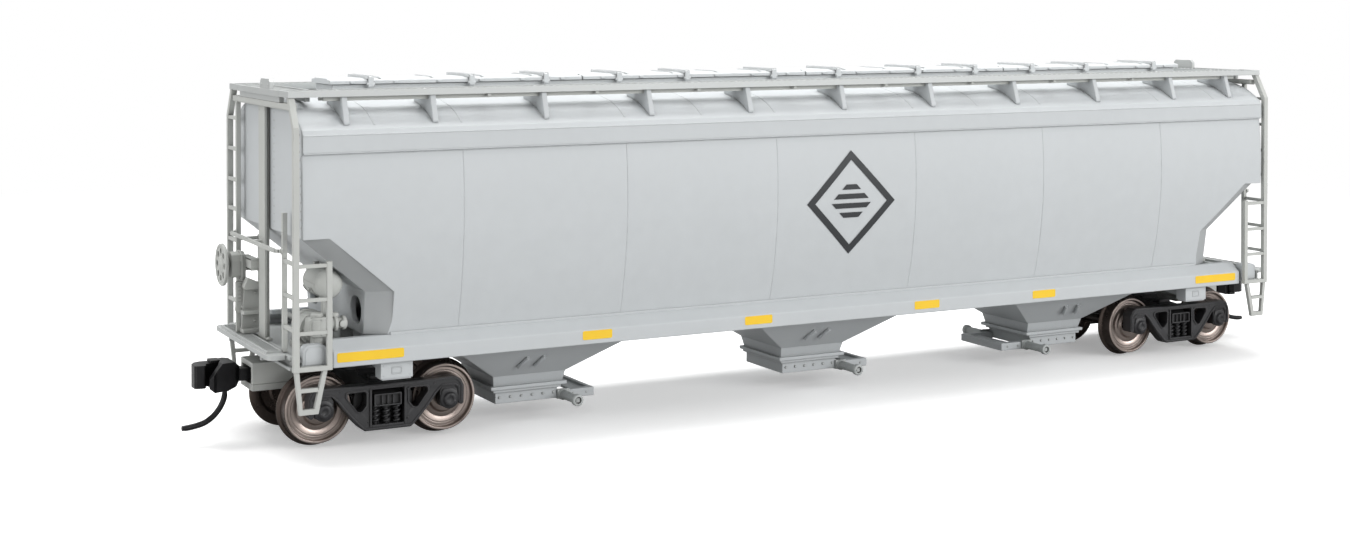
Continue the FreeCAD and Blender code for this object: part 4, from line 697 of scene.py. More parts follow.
for n, e in (("end_running_board_b", -1), ("end_running_board_a", 1)):
    x0, x1, y0, y1, z0, z1 = nb(n)
    k = Kit()
    zt = 54.1
    mesh_deck(k, min(x0, x1), max(x0, x1), y0 + 0.06, y1 - 0.06, 53.15, zt, pitch=1.05, lines=3)
    # carrier angles under the deck
    for x in (e * 92.6, e * 96.6):
        k.box(x - 0.35, x + 0.35, y0 + 0.4, y1 - 0.4, 52.3, 53.2)
    # upright toe board at the ladder side
    s = e
    a, b = sorted((s * 6.4, s * 1.2))
    k.prism([(a, 53.6), (b, 53.6), (b, 55.2), (b - 0.5, 55.62), (a + 0.5, 55.62), (a, 55.2)], "X", *sorted((e * 96.45, e * 97.08)))
    for y in (a + 0.9, b - 0.9):
        k.stud((e * 97.08, y, 54.7), (e, 0, 0), 0.2, 0.1, 8)
    k.done(n + "_mesh", WALK, "car_body", bevel=0.0, replaces=(n,))

# ---------------------------------------------------------------- roof hatches
CB = nb("hatch_coaming")
k = Kit()
for s in (-1, 1):
    k.prism([(s * 3.7, 51.9), (s * 4.1, 51.9), (s * 4.1, 54.1), (s * 4.2, 54.2), (s * 4.2, 54.45), (s * 3.7, 54.45)], "X", CB[0], CB[1])
    k.prism([(s * 4.0, 52.1), (s * 4.9, 52.25), (s * 4.9, 52.4), (s * 4.0, 52.6)], "X", CB[0], CB[1])
for x in (CB[0], CB[1] - 0.5):
    k.box(x, x + 0.5, -3.75, 3.75, 51.9, 54.45)
for x in span(CB[0] + 3.5, CB[1] - 3.5, 36):
    for s in (-1, 1):
        k.prism([(s * 4.05, 52.3), (s * 4.75, 52.38), (s * 4.05, 53.7)], "X", x - 0.12, x + 0.12)
k.done("hatch_coaming_rim", ROOF, "car_body", bevel=0.05, segs=1, replaces=("hatch_coaming",))

edges = (-87.2, -43.7, 0.0, 43.7, 87.2)
k = Kit()
for a, b in zip(edges, edges[1:]):
    a, b = a + 0.12, b - 0.12
    # lid with turned-down skirt and a shallow raised crown
    prof = [(-4.8, 54.52), (-4.8, 55.0), (-4.55, 55.2), (-3.4, 55.26), (-3.1, 55.42), (3.1, 55.42), (3.4, 55.26), (4.55, 55.2),
            (4.8, 55.0), (4.8, 54.52)]
    prof = [(y, min(z, 55.4)) for y, z in prof]
    k.prism(prof, "X", a, b)
    n = 5
    for i in range(1, n):
        x = a + (b - a) * i / n
        k.prism([(-4.4, 55.15), (4.4, 55.15), (4.2, 55.42), (3.2, 55.55), (-3.2, 55.55), (-4.2, 55.42)], "X", x - 0.22, x + 0.22)
    # hinge lugs on one side, lift lugs on the other
    for i in range(6):
        x = a + (b - a) * (i + 0.5) / 6
        k.box(x - 0.7, x + 0.7, 4.55, 5.15, 54.6, 55.1)
        k.tube([(x - 0.6, 5.05, 54.75), (x + 0.6, 5.05, 54.75)], 0.2, 8)
        k.box(x - 0.35, x + 0.35, -5.1, -4.6, 54.62, 54.98)
k.done("hatch_lids", LID, "car_body", bevel=0.07, segs=2, replaces=("hatch_covers",))

k = Kit()
for u in (-1, 1):
    for v in (6.7, 24.0, 37.0, 50.4, 63.5, 80.5):
        x = u * v
        # channel batten with end dogs and eye bolts
        for dx in (-0.42, 0.42):
            k.box(x + dx - 0.1, x + dx + 0.1, -4.95, 4.95, 55.25, 55.82)
        k.box(x - 0.5, x + 0.5, -5.0, 5.0, 55.5, 55.66)
        for s in (-1, 1):
            k.prism([(s * 4.6, 55.7), (s * 5.2, 55.6), (s * 5.22, 54.2), (s * 4.9, 53.85), (s * 4.85, 55.2)], "X", x - 0.42, x + 0.42)
            k.lathe([(-0.62, 0), (-0.62, 0.24), (0.62, 0.24), (0.62, 0)], (x, s * 4.98, 54.5), (1, 0, 0), 10)
            k.bolt((x, s * 4.1, 55.64), (0, 0, 1), 0.2, 0.16)
k.done("hatch_dogs", ROOF, "car_body", bevel=0.03, segs=1, replaces=("hatch_battens",))

# rails under the walkways, between the gussets
k = Kit()
for s in (-1, 1):
    for y in (12.9, 15.2):
        k.box(-91.5, 91.5, s * y - 0.16, s * y + 0.16, 52.55, 53.18)
for s in (-1, 1):
    for x in (-9.3, -27.9, -46.5, -65.1, 9.3, 27.9, 46.5, 65.1):
        k.box(x - 0.3, x + 0.3, s * 14.0 - 2.3, s * 14.0 + 2.3, 52.8, 53.18)
k.done("walkway_rails", END, "car_body", bevel=0.04, segs=1)

# ---------------------------------------------------------------- hopper bays and gates
k = Kit()
for i, c in enumerate((-54.3, 0.0, 54.3)):
    g = -1 if i == 2 else 1
    # bolted flange above the gate, on all four sides
    for s in (-1, 1):
        for x in span(-5.2, 5.2, 11):
            k.stud((c + x, s * 6.72, 4.95), (0, s * 0.97, 0.25), 0.17, 0.12, 8)
        for x in span(-5.0, 4.6, 5):
            k.bolt((c + g * x, s * 6.22, 3.3), (0, s, 0), 0.2, 0.16)
        for x in (8.2, 10.6):
            k.stud((c + g * x, s * 6.25, 2.8), (0, s, 0), 0.2, 0.12, 8)
    for y in span(-5.6, 5.6, 8):
        for u in (-1, 1):
            k.stud((c + u * 6.1, y, 4.95), (u * 0.97, 0, 0.25), 0.17, 0.12, 8)
k.done("bay_bolt_rows", UNDER, "car_body", sharp=50)

k = Kit()
CPN = nb("gate_capstans")
for i, c in enumerate((-54.3, 0.0, 54.3)):
    g = -1 if i == 2 else 1
    xc = c + 6.3 * g
    for s in (-1, 1):
        # drive shaft with a flanged collar and an open square-drive end
        prof = [(6.3, 0), (6.3, 0.95), (6.75, 0.95), (6.85, 0.8), (7.1, 0.74), (10.6, 0.70), (11.3, 0.72), (11.45, 0.9), (11.6, 0.95),
                (12.25, 0.95), (12.4, 0.86), (12.4, 0.56), (11.9, 0.52), (11.9, 0.0)]
        k.lathe([(a, r) for a, r in prof], (xc, 0, 2.85), (0, s, 0), 28)
        k.box(xc - 0.36, xc + 0.36, *sorted((s * 11.85, s * 12.15)), 2.49, 3.21)
        k.box(xc - 1.1, xc + 1.1, *sorted((s * 6.2, s * 6.62)), 2.15, 3.75)
k.done("gate_drive_shafts", UNDER, "car_body", bevel=0.04, segs=1, replaces=("gate_capstans",))

# ---------------------------------------------------------------- wheels and axles
def wheel_profile(s):
    """Turned wheel section as (along the axle, radius), from the back."""
    p = [(7.6, 1.15), (7.55, 2.6), (7.7, 3.9), (7.7, 4.8), (9.88, 5.16), (9.98, 5.2), (10.05, 5.12), (10.05, 4.88), (9.98, 4.8), (9.55, 4.74), (9.42, 4.62), (9.44, 4.2),
         (9.38, 4.1), (9.44, 4.0), (9.4, 3.3), (9.34, 3.2), (9.4, 3.1), (9.46, 2.5), (9.6, 2.32), (9.92, 2.2), (9.98, 2.1), (9.98, 1.3), (9.88, 1.15)]
    return [(s * a, r) for a, r in p]


def tread_profile(s):
    """Tread, flange and back of the wheel."""
    p = [(7.25, 1.15), (7.25, 2.3), (7.5, 2.6), (7.62, 3.9), (7.25, 4.35), (7.25, 5.55), (7.38, 5.78), (7.56, 5.88), (7.72, 5.84), (7.86, 5.66),
         (8.0, 5.42), (8.25, 5.33), (9.85, 5.24), (9.9, 5.2), (9.85, 5.1), (7.75, 4.7), (7.7, 1.15)]
    return [(s * a, r) for a, r in p]


AXLES = []
for i in (1, 2, 3, 4):
    b = nb("axle_%d" % i)
    xc, zc = (b[0] + b[1]) / 2, (b[4] + b[5]) / 2
    AXLES.append((xc, zc))
    body = "wheelset_%d" % i
    k = Kit()
    for s in (-1, 1):
        k.lathe(wheel_profile(s), (xc, 0, zc), (0, 1, 0), 96)
    k.done("wheel_pair_%d" % i, WHEEL, body, sharp=32, replaces=("wheels_%d" % i,))
    # treads in the metal with the painted dark reflection
    k = Kit()
    for s in (-1, 1):
        k.lathe(tread_profile(s), (xc, 0, zc), (0, 1, 0), 96)
    k.done("wheel_treads_%d" % i, TREAD_DARK_REFLECTION, body, sharp=32)
    k = Kit()
    prof = [(-11.88, 0), (-11.88, 0.12), (-11.45, 0.5), (-10.9, 0.6), (-10.2, 0.62), (-10.1, 1.1), (-7.2, 1.14), (-6.6, 1.05), (-2.0, 0.95),
            (2.0, 0.95), (6.6, 1.05), (7.2, 1.14), (10.1, 1.1), (10.2, 0.62), (10.9, 0.6), (11.45, 0.5), (11.88, 0.12), (11.88, 0)]
    k.lathe(prof, (xc, 0, zc), (0, 1, 0), 32)
    k.done("axle_bar_%d" % i, AXLE, body, sharp=32, replaces=("axle_%d" % i,))

# ---------------------------------------------------------------- trucks
for t, x0 in (("b", -80.5), ("a", 80.5)):
    F = nb("truck_frame_%s" % t)
    x0 = (F[0] + F[1]) / 2
    body = "truck_%s" % t
    k = Kit()
    for s in (-1, 1):
        for u in (-1, 0, 1):
            # wound coil with closed end turns, round a dark core
            cx, cy, r = x0 + u * 1.75, s * 11.68, 0.5
            turns = 4.6
            pts = []
            n = int(turns * 16)
            for j in range(n + 1):
                f = j / n
                z = 2.76 + (5.55 - 2.76) * min(1, max(0, (f - 0.08) / 0.84))
                a = 2 * math.pi * turns * f + u
                pts.append((cx + r * math.cos(a), cy + r * math.sin(a), z))
            k.tube(pts, 0.215, 8)
            k.lathe([(0, 0), (0, 0.4), (3.1, 0.4), (3.1, 0)], (cx, cy, 2.6), (0, 0, 1), 12)
    k.done("coil_springs_%s" % t, SPRING, body, sharp=60, replaces=("truck_springs_%s" % t,))

    k = Kit()
    top = [(-12.45, 4.45), (-12.5, 7.4), (-12.0, 8.45), (-11.2, 8.88), (-9.6, 8.9), (-4.0, 8.74), (4.0, 8.74), (9.6, 8.9), (11.2, 8.88),
           (12.0, 8.45), (12.5, 7.4), (12.45, 4.45)]
    low = [(11.7, 4.45), (11.55, 6.9), (11.1, 7.45), (8.8, 7.45), (8.0, 6.6), (7.2, 5.5), (5.5, 3.45), (4.4, 2.3), (3.7, 1.77),
           (-3.7, 1.77), (-4.4, 2.3), (-5.5, 3.45), (-7.2, 5.5), (-8.0, 6.6), (-8.8, 7.45), (-11.1, 7.45), (-11.55, 6.9), (-11.7, 4.45)]
    outline = fillet(top + low, 0.45, 4)
    TRI = [(3.4, 7.88), (6.45, 7.8), (6.5, 7.05), (4.75, 4.75), (4.15, 4.85), (3.45, 5.7)]
    for s in (-1, 1):
        loops = [outline, fillet([(-2.62, 2.5), (2.62, 2.5), (2.62, 8.05), (-2.62, 8.05)], 0.3, 3)]
        for u in (-1, 1):
            tri = [(u * a, v) for a, v in TRI]
            loops.append(fillet(tri if u < 0 else list(reversed(tri)), 0.5, 5))
        plate(k, loops, lambda u, v, w, s=s: (x0 + u, s * (10.52 + w), v), 2.2)
    k.done("truck_side_frames_%s" % t, BLACK, body, bevel=0.14, segs=2, replaces=("truck_frame_%s" % t,))
    k = Kit()
    for s in (-1, 1):
        # dark web behind the spring nest
        k.box(x0 - 2.8, x0 + 2.8, *sorted((s * 10.5, s * 10.82)), 2.3, 8.2)
        k.box(x0 - 2.8, x0 + 2.8, *sorted((s * 10.6, s * 11.3)), 5.95, 7.2)
        yo = 12.72
        # raised borders of the cast I section
        for pts2, wd in (([(-12.1, 5.0), (-12.15, 7.4), (-11.75, 8.2), (-11.1, 8.6), (-9.6, 8.66), (-4.0, 8.5), (4.0, 8.5), (9.6, 8.66), (11.1, 8.6), (11.75, 8.2), (12.15, 7.4), (12.1, 5.0)], 0.26),
                         ([(-8.9, 7.72), (-7.75, 6.65), (-6.95, 5.55), (-5.25, 3.6), (-4.2, 2.5), (-3.6, 2.05), (3.6, 2.05), (4.2, 2.5), (5.25, 3.6), (6.95, 5.55), (7.75, 6.65), (8.9, 7.72)], 0.26),
                         ([(-8.9, 7.72), (-11.0, 7.72), (-11.75, 7.2)], 0.26), ([(8.9, 7.72), (11.0, 7.72), (11.75, 7.2)], 0.26)):
            for (xa, za), (xb, zb) in zip(pts2, pts2[1:]):
                k.bar((x0 + xa, s * yo, za), (x0 + xb, s * yo, zb), wd, 0.26, up=(0, 1, 0))
        for u in (-1, 1):
            # rim round the triangular opening
            tri = fillet([(u * a, v) for a, v in TRI], 0.5, 5)
            ca = sum(a for a, v in TRI) / 6 * u
            cv = sum(v for a, v in TRI) / 6
            big = [(ca + (a - ca) * 1.17, cv + (v - cv) * 1.14) for a, v in tri]
            plate(k, [big, list(reversed(tri))], lambda a, v, w, s=s: (x0 + a, s * (12.66 + w), v), 0.2)
            cx = x0 + u * 10.1
            # bearing adapter, square housing and stepped end cap
            plate(k, [fillet([(-1.5, 4.35), (1.5, 4.35), (1.5, 6.9), (1.1, 7.45), (-1.1, 7.45), (-1.5, 6.9)], 0.35, 3)],
                  lambda a, v, w, s=s, cx=cx: (cx + a, s * (11.0 + w), v), 1.55)
            plate(k, [fillet([(-1.22, 4.6), (1.22, 4.6), (1.22, 6.7), (0.95, 7.1), (-0.95, 7.1), (-1.22, 6.7)], 0.35, 3)],
                  lambda a, v, w, s=s, cx=cx: (cx + a, s * (12.5 + w), v), 0.28)
            k.lathe([(0, 0), (0, 1.55), (1.0, 1.55), (1.1, 1.42), (1.18, 1.1), (1.5, 1.04), (1.62, 0.92), (1.66, 0.5), (1.5, 0.4), (1.5, 0)],
                    (cx, s * 11.75, 5.45), (0, s, 0), 40)
            for q in range(3):
                a = math.radians(90 + 120 * q)
                k.bolt((cx + 0.72 * math.cos(a), s * 13.36, 5.45 + 0.72 * math.sin(a)), (0, s, 0), 0.17, 0.1)
            for dx, z in ((-2.5, 8.1), (1.5, 8.15)):
                k.stud((x0 + u * (10.1 + dx), s * 12.7, z), (0, s, 0), 0.16, 0.12, 10)
            # column guides beside the spring nest
            k.box(*sorted((x0 + u * 2.62, x0 + u * 2.92)), *sorted((s * 12.6, s * 12.95)), 2.4, 8.15)
            for z in (3.2, 7.6):
                k.bolt((x0 + u * 3.2, s * 12.7, z), (0, s, 0), 0.16, 0.12)
        # bolster end framed in the window: an open box with ribs
        plate(k, [fillet([(-2.2, 5.42), (2.2, 5.42), (2.2, 7.3), (-2.2, 7.3)], 0.12, 2),
                  list(reversed(fillet([(-1.98, 5.62), (1.98, 5.62), (1.98, 7.1), (-1.98, 7.1)], 0.1, 2)))],
              lambda a, v, w, s=s: (x0 + a, s * (11.3 + w), v), 1.6)
        for dx in (-0.85, 0.05, 0.95):
            k.box(x0 + dx - 0.1, x0 + dx + 0.1, *sorted((s * 12.0, s * 12.68)), 5.55, 7.15)
        k.box(x0 - 2.05, x0 + 2.05, *sorted((s * 11.9, s * 12.3)), 5.5, 7.2)
        # spring seat
        k.box(x0 - 2.55, x0 + 2.55, *sorted((s * 10.6, s * 12.85)), 2.3, 2.62)
    k.done("truck_castings_%s" % t, BLACK, body, bevel=0.04, segs=1)
    k = Kit()
    # bolster with bowl, side bearings and end taper
    k.prism([(-12.0, 5.9), (-12.0, 7.2), (-9.4, 8.6), (-4.6, 8.9), (-4.1, 9.6), (4.1, 9.6), (4.6, 8.9), (9.4, 8.6), (12.0, 7.2), (12.0, 5.9),
             (8.8, 5.7), (5.0, 5.2), (-5.0, 5.2), (-8.8, 5.7)], "X", x0 - 2.05, x0 + 2.05)
    k.lathe([(9.3, 1.95), (10.25, 1.95), (10.3, 2.2), (10.3, 3.6), (10.1, 3.9), (9.3, 4.0)], (x0, 0, 0), (0, 0, 1), 48)
    for s in (-1, 1):
        k.box(x0 - 1.3, x0 + 1.3, *sorted((s * 6.6, s * 8.4)), 8.7, 9.25)
    k.done("truck_bolster_%s" % t, BLACK, body, bevel=0.12, segs=2)
    # brake beams and shoes behind the wheel treads
    k = Kit()
    for u in (-1, 1):
        xb = x0 + u * 4.1
        for s in (-1, 1):
            plate(k, [fillet([(u * a, v) for a, v in ((2.3, 4.1), (3.9, 4.1), (4.72, 5.0), (4.72, 6.4), (4.3, 7.9), (2.3, 7.9))][::u], 0.25, 3)],
                  lambda a, v, w, s=s: (x0 + a, s * (9.05 + w), v), 1.4)
        k.prism([(xb - 0.35, 3.5), (xb + 0.35, 3.5), (xb + 0.35, 4.2), (xb - 0.35, 4.2)], "Y", -7.6, 7.6)
        for s in (-1, 1):
            cx = x0 + u * 10.2
            pts = arc(cx, 5.25, 5.42, 180 + u * -0 - 16 if u > 0 else -16, 180 + 16 if u > 0 else 16, 8)
            out = arc(cx, 5.25, 5.95, 180 - 16 if u > 0 else -16, 180 + 16 if u > 0 else 16, 8)
            k.prism(pts + list(reversed(out)), "Y", *sorted((s * 8.35, s * 9.9)))
            k.bar((cx - u * 5.85, s * 9.1, 4.9), (xb, s * 7.2, 3.9), 0.5, 0.6)
    k.done("brake_beams_%s" % t, BLACK, body, bevel=0.04, segs=1)

# ---------------------------------------------------------------- hand brake wheel
B = nb("brake_wheel")
wy, wz = (B[2] + B[3]) / 2, (B[4] + B[5]) / 2
RW = (B[3] - B[2]) / 2
wx = -101.05
k = Kit()
n = 8
hr, hc, ri, ro = 0.53, RW * 0.63, RW * 0.36, RW * 0.885
for i in range(n):
    a0 = 2 * math.pi * i / n
    half = math.pi / n
    m = 24
    hole, rim = [], []
    for j in range(m):
        t = 2 * math.pi * j / m
        dx, dy = math.cos(t), math.sin(t)
        hole.append((hc + hr * dx, hr * dy))
        # where the ray from the hole's centre leaves the sector
        best = 1e9
        for step in range(1, 400):
            q = step * 0.006
            px, py = hc + dx * q, dy * q
            rr, aa = math.hypot(px, py), abs(math.atan2(py, px))
            if rr > ro or rr < ri or aa > half:
                best = q
                break
        rim.append((hc + dx * best, dy * best))

    def put3(p, x):
        c, s2 = math.cos(a0), math.sin(a0)
        return (x, wy + p[0] * c - p[1] * s2, wz + p[0] * s2 + p[1] * c)
    rings = [[k.bm.verts.new(put3(p, x)) for p in ring] for ring, x in ((rim, wx - 0.16), (hole, wx - 0.2), (hole, wx + 0.2), (rim, wx + 0.16))]
    for a, b in zip(rings, rings[1:]):
        for j in range(m):
            q = (j + 1) % m
            k.bm.faces.new([a[j], a[q], b[q], b[j]])
k.lathe([(-0.2, RW * 0.87), (-0.26, RW * 0.9), (-0.26, RW * 0.97), (-0.16, RW * 0.998), (0.2, RW * 0.998), (0.27, RW * 0.97), (0.27, RW * 0.9), (0.2, RW * 0.87)],
        (wx, wy, wz), (1, 0, 0), 64)
k.lathe([(-0.45, 0), (-0.45, 0.55), (-0.32, 0.7), (-0.2, 1.3), (0.2, 1.34), (0.5, 0.8), (1.1, 0.72), (1.1, 0)], (wx, wy, wz), (1, 0, 0), 32)
k.bolt((wx - 0.36, wy, wz), (-1, 0, 0), 0.34, 0.09)
k.lathe([(0.9, 0), (0.9, 0.42), (2.45, 0.42), (2.45, 0)], (wx, wy, wz), (1, 0, 0), 20)
k.done("brake_hand_wheel", END, "hand_brake", sharp=40, replaces=("brake_wheel",))

# ---------------------------------------------------------------- brake gear on the B end
k = Kit()
H = nb("brake_housing")
hy, hz = wy, wz
# gear case with a rounded top, a flange round its back, a tail and an arm
case = fillet([(-1.6, -2.02), (1.6, -2.02), (1.6, 0.6), (1.25, 1.55), (0.5, 1.92), (-0.5, 1.92), (-1.25, 1.55), (-1.6, 0.6)], 0.45, 4)
plate(k, [case], lambda u, v, w: (-99.88 + w, hy + u, hz + v), 1.42)
case2 = [(u * 0.82, v * 0.82) for u, v in case]
plate(k, [case2], lambda u, v, w: (-99.9 + w, hy + u, hz + v), 0.1)
flange = fillet([(-1.94, -2.38), (1.94, -2.38), (1.94, 0.5), (1.55, 1.6), (0.6, 2.08), (-0.6, 2.08), (-1.55, 1.6), (-1.94, 0.5)], 0.3, 3)
plate(k, [flange], lambda u, v, w: (-98.48 + w, hy + u, hz + v), 0.34)
plate(k, [[(u * 0.93, v * 0.93) for u, v in flange]], lambda u, v, w: (-98.14 + w, hy + u, hz + v), 0.42)
k.box(-97.98, -97.42, hy - 1.58, hy + 0.58, hz - 3.33, hz - 2.1)
# arm: a channel to the post
k.box(-97.74, -96.58, 1.82, hy + 0.95, hz - 0.5, hz + 1.2)
k.box(-97.74, -96.58, 1.76, hy + 0.95, hz + 1.02, hz + 1.28)
k.box(-97.74, -96.58, 1.76, hy + 0.95, hz - 0.58, hz - 0.32)
k.box(-96.6, -95.92, 1.76, 2.88, hz - 0.58, hz + 1.28)
for u, v in ((-1.7, -2.1), (1.7, -2.1), (-1.7, 0.6), (1.7, 0.6)):
    k.bolt((-98.46, hy + u, hz + v), (-1, 0, 0), 0.16, 0.12)
k.done("brake_gear_case", END, "car_body", bevel=0.08, segs=2, replaces=("brake_housing",))

# chain guard, back plate and sloping bracket below the case
k = Kit()
flat = lambda y0: (lambda u, v, w: (u, y0 + w, v))
plate(k, [fillet([(-99.22, 23.38), (-98.12, 23.38), (-98.08, 22.4), (-97.75, 20.7), (-97.25, 18.9), (-97.48, 18.35), (-98.92, 18.35), (-99.34, 18.8), (-99.24, 19.7)],
                 [0.2, 0.1, 0.3, 0.6, 0.3, 0.25, 0.3, 0.3, 0.4], 4)], flat(4.95), 0.72)
# raised edge along the guard
for q, r in zip([(-98.15, 23.3), (-98.13, 22.4), (-97.85, 20.75), (-97.35, 18.95)], [(-98.13, 22.4), (-97.85, 20.75), (-97.35, 18.95), (-97.5, 18.45)]):
    k.bar((q[0], 4.9, q[1]), (r[0], 4.9, r[1]), 0.16, 0.16, up=(0, 1, 0))
for i, z in enumerate((22.9, 22.3, 21.7, 21.1, 20.5)):
    k.box(-98.95 - 0.02 * i, -98.45, 4.84, 4.97, z - 0.17, z + 0.17)
plate(k, [fillet([(-98.58, 15.48), (-95.77, 15.48), (-95.77, 22.38), (-98.08, 22.38)], 0.15, 2)], flat(4.44), 0.5)
plate(k, [fillet([(-98.48, 22.75), (-97.9, 24.18), (-95.97, 23.3), (-95.97, 22.32), (-98.3, 22.32)], 0.12, 2)], flat(3.02), 1.55)
k.box(-98.58, -95.77, 2.92, 5.18, 18.42, 18.98)
k.box(-98.68, -95.77, 2.92, 6.38, 15.48, 16.08)
k.box(-99.18, -98.67, 5.02, 5.58, 15.48, 18.48)
for i in range(5):
    # chain links up to the case, every other one turned
    z = 23.72 - i * 0.5
    pts = [(0.15 * math.cos(a), 0.3 * math.sin(a)) for a in [2 * math.pi * q / 12 for q in range(13)]]
    k.tube([(-98.9 + (u if i % 2 else 0), 5.3 + (0 if i % 2 else u), z - 0.15 + v) for u, v in pts], 0.08, 6)
for p in ((-98.3, 19.4), (-96.4, 21.6), (-96.4, 17.2)):
    k.bolt((p[0], 4.42 if p[0] > -98 else 4.9, p[1]), (0, -1, 0), 0.2, 0.12)
k.done("brake_bell_crank", END, "car_body", bevel=0.05, segs=1, sharp=40, replaces=("brake_linkage",))

# centre posts: face plate, web, cross tie and feet
for t, e in (("b", -1), ("a", 1)):
    k = Kit()
    k.box(*sorted((e * 96.55, e * 96.28)), -1.7, 1.7, 15.04, 51.38)
    k.box(*sorted((e * 96.3, e * 95.62)), -1.12, 1.12, 15.04, 51.38)
    for y in (-1.6, 1.6):
        k.box(*sorted((e * 96.3, e * 96.16)), y - 0.1, y + 0.1, 15.04, 51.38)
    k.box(*sorted((e * 96.9, e * 95.62)), -15.6, 15.6, 51.45, 52.26)
    k.box(*sorted((e * 96.86, e * 96.7)), -15.5, 15.5, 51.3, 51.7)
    for q in (-1, 1):
        k.box(*sorted((e * 96.5, e * 95.64)), *sorted((q * 1.1, q * 2.68)), 15.04, 15.42)
        k.bolt((e * 96.1, q * 2.3, 15.42), (0, 0, 1), 0.2, 0.14)
        for z in (17.5, 24.0, 30.8, 50.6):
            k.stud((e * 96.55, q * 1.2, z), (e, 0, 0), 0.14, 0.08, 8)
    k.done("centre_post_%s" % t, END, "car_body", bevel=0.06, segs=1, replaces=("end_post_%s" % t,))

# air reservoir: turned drum with domed, flanged ends, straps and a bolted foot
k = Kit()
ry, rz, rx = -10.75, 24.9, -90.2
prof = [(-4.5, 0), (-4.46, 0.6), (-4.3, 1.15), (-4.05, 1.6), (-3.7, 1.92), (-3.3, 2.1), (-2.85, 2.14), (-2.8, 2.2), (-2.6, 2.2), (-2.55, 2.13),
        (2.55, 2.13), (2.6, 2.2), (2.8, 2.2), (2.85, 2.14), (3.3, 2.1), (3.7, 1.92), (4.05, 1.6), (4.3, 1.15), (4.46, 0.6), (4.5, 0)]
k.lathe(prof, (rx, ry, rz), (0, 1, 0), 64)
# moulding line along the drum, pipe bosses on its end face
k.box(rx - 2.19, rx - 2.05, ry - 2.9, ry + 2.9, rz - 0.12, rz + 0.12)
k.box(rx + 2.05, rx + 2.19, ry - 2.9, ry + 2.9, rz - 0.12, rz + 0.12)
for q in range(2):
    k.stud((rx - 1.7 - 0.18 * q, ry - 2.0 + 2.6 * q, rz - 1.1), (-0.85, 0, -0.52), 0.3, 0.3, 12)
for y in (-11.5, -7.6):
    k.tube([(rx + 2.22 * math.cos(a), y, rz + 2.22 * math.sin(a)) for a in [math.radians(200 + 14 * i) for i in range(11)]], 0.11, 6)
A = nb("air_reservoir")
k.box(-90.58, -89.82, -11.88, -11.12, A[4], 23.1)
k.box(-90.58, -89.82, -7.98, -7.22, 26.8, 27.54)
k.box(-91.6, -88.8, -11.95, -11.05, A[4], A[4] + 0.5)
for x in (-91.3, -89.1):
    k.bolt((x, -11.5, A[4] + 0.48), (0, 0, 1), 0.2, 0.14)
k.done("reservoir_drum", END, "car_body", sharp=30, replaces=("air_reservoir",))

# brake cylinder: drum with a bolted head and push rod
k = Kit()
Y = nb("brake_cylinder")
cx, cz = -90.9, 17.6
prof = [(-10.75, 0), (-10.75, 1.6), (-10.6, 2.0), (-10.2, 2.1), (-10.1, 2.65), (-9.6, 2.65), (-9.5, 2.3), (-6.4, 2.3), (-6.3, 2.5), (-5.9, 2.5), (-5.8, 2.3),
        (-4.4, 2.3), (-4.2, 2.1), (-3.6, 1.2), (-3.4, 0.55), (4.9, 0.4), (4.9, 0)]
k.lathe(prof, (cx, 0, cz), (0, 1, 0), 48)
for q in range(8):
    a = 2 * math.pi * q / 8
    k.bolt((cx + 2.38 * math.cos(a), -10.08, cz + 2.38 * math.sin(a)), (0, -1, 0), 0.18, 0.12)
k.box(-93.4, -88.4, -9.9, -4.4, Y[4], 15.35)
k.done("brake_drum", END, "car_body", sharp=30, replaces=("brake_cylinder",))

# control valve: ported casting with flanges and pipe stubs
k = Kit()
V2 = nb("control_valve")
vy = -13.6
plate(k, [fillet([(-93.5, 17.2), (-90.4, 17.2), (-90.4, 20.1), (-93.5, 20.1)], 0.7, 5)], lambda u, v, w: (u, -14.9 + w, v), 2.4)
plate(k, [fillet([(-93.1, 17.6), (-91.9, 17.6), (-91.9, 19.75), (-93.1, 19.75)], 0.35, 4)], lambda u, v, w: (u, -15.0 + w, v), 0.2)
k.box(-92.78, -91.42, -14.58, -12.82, V2[4], 17.3)
k.lathe([(0, 0), (0, 0.95), (0.45, 0.92), (0.65, 0.6), (0.7, 0)], (-92.0, vy, 20.05), (0, 0, 1), 24)
k.lathe([(0, 0), (0, 0.94), (0.9, 0.94), (1.05, 1.26), (1.45, 1.3), (1.6, 0.9), (2.2, 0.85), (2.35, 1.1), (2.8, 1.05), (3.05, 0.7), (3.05, 0)],
        (-90.45, vy, 18.9), (1, 0, 0), 28)
k.lathe([(0, 0), (0, 0.62), (0.5, 0.58), (0.62, 0.3), (0.62, 0)], (-89.2, vy, 19.95), (0, 0, 1), 18)
k.lathe([(0, 0), (0, 0.55), (0.62, 0.5), (0.7, 0.25), (0.7, 0)], (-88.3, vy - 0.62, 18.9), (0, -1, 0), 18)
k.tube([(-89.9, vy, 18.2), (-89.9, vy, 17.0), (-90.3, vy, 16.2), (-90.8, vy, 15.6)], 0.3, 10)
for z in (17.55, 19.75):
    for x in (-91.6, -90.8):
        k.bolt((x, -14.9, z), (0, -1, 0), 0.16, 0.1)
for q in range(6):
    a = 2 * math.pi * q / 6
    k.bolt((-89.05, vy + 1.08 * math.cos(a), 18.9 + 1.08 * math.sin(a)), (1, 0, 0), 0.12, 0.1)
k.done("valve_casting", END, "car_body", bevel=0.07, segs=2, replaces=("control_valve",))

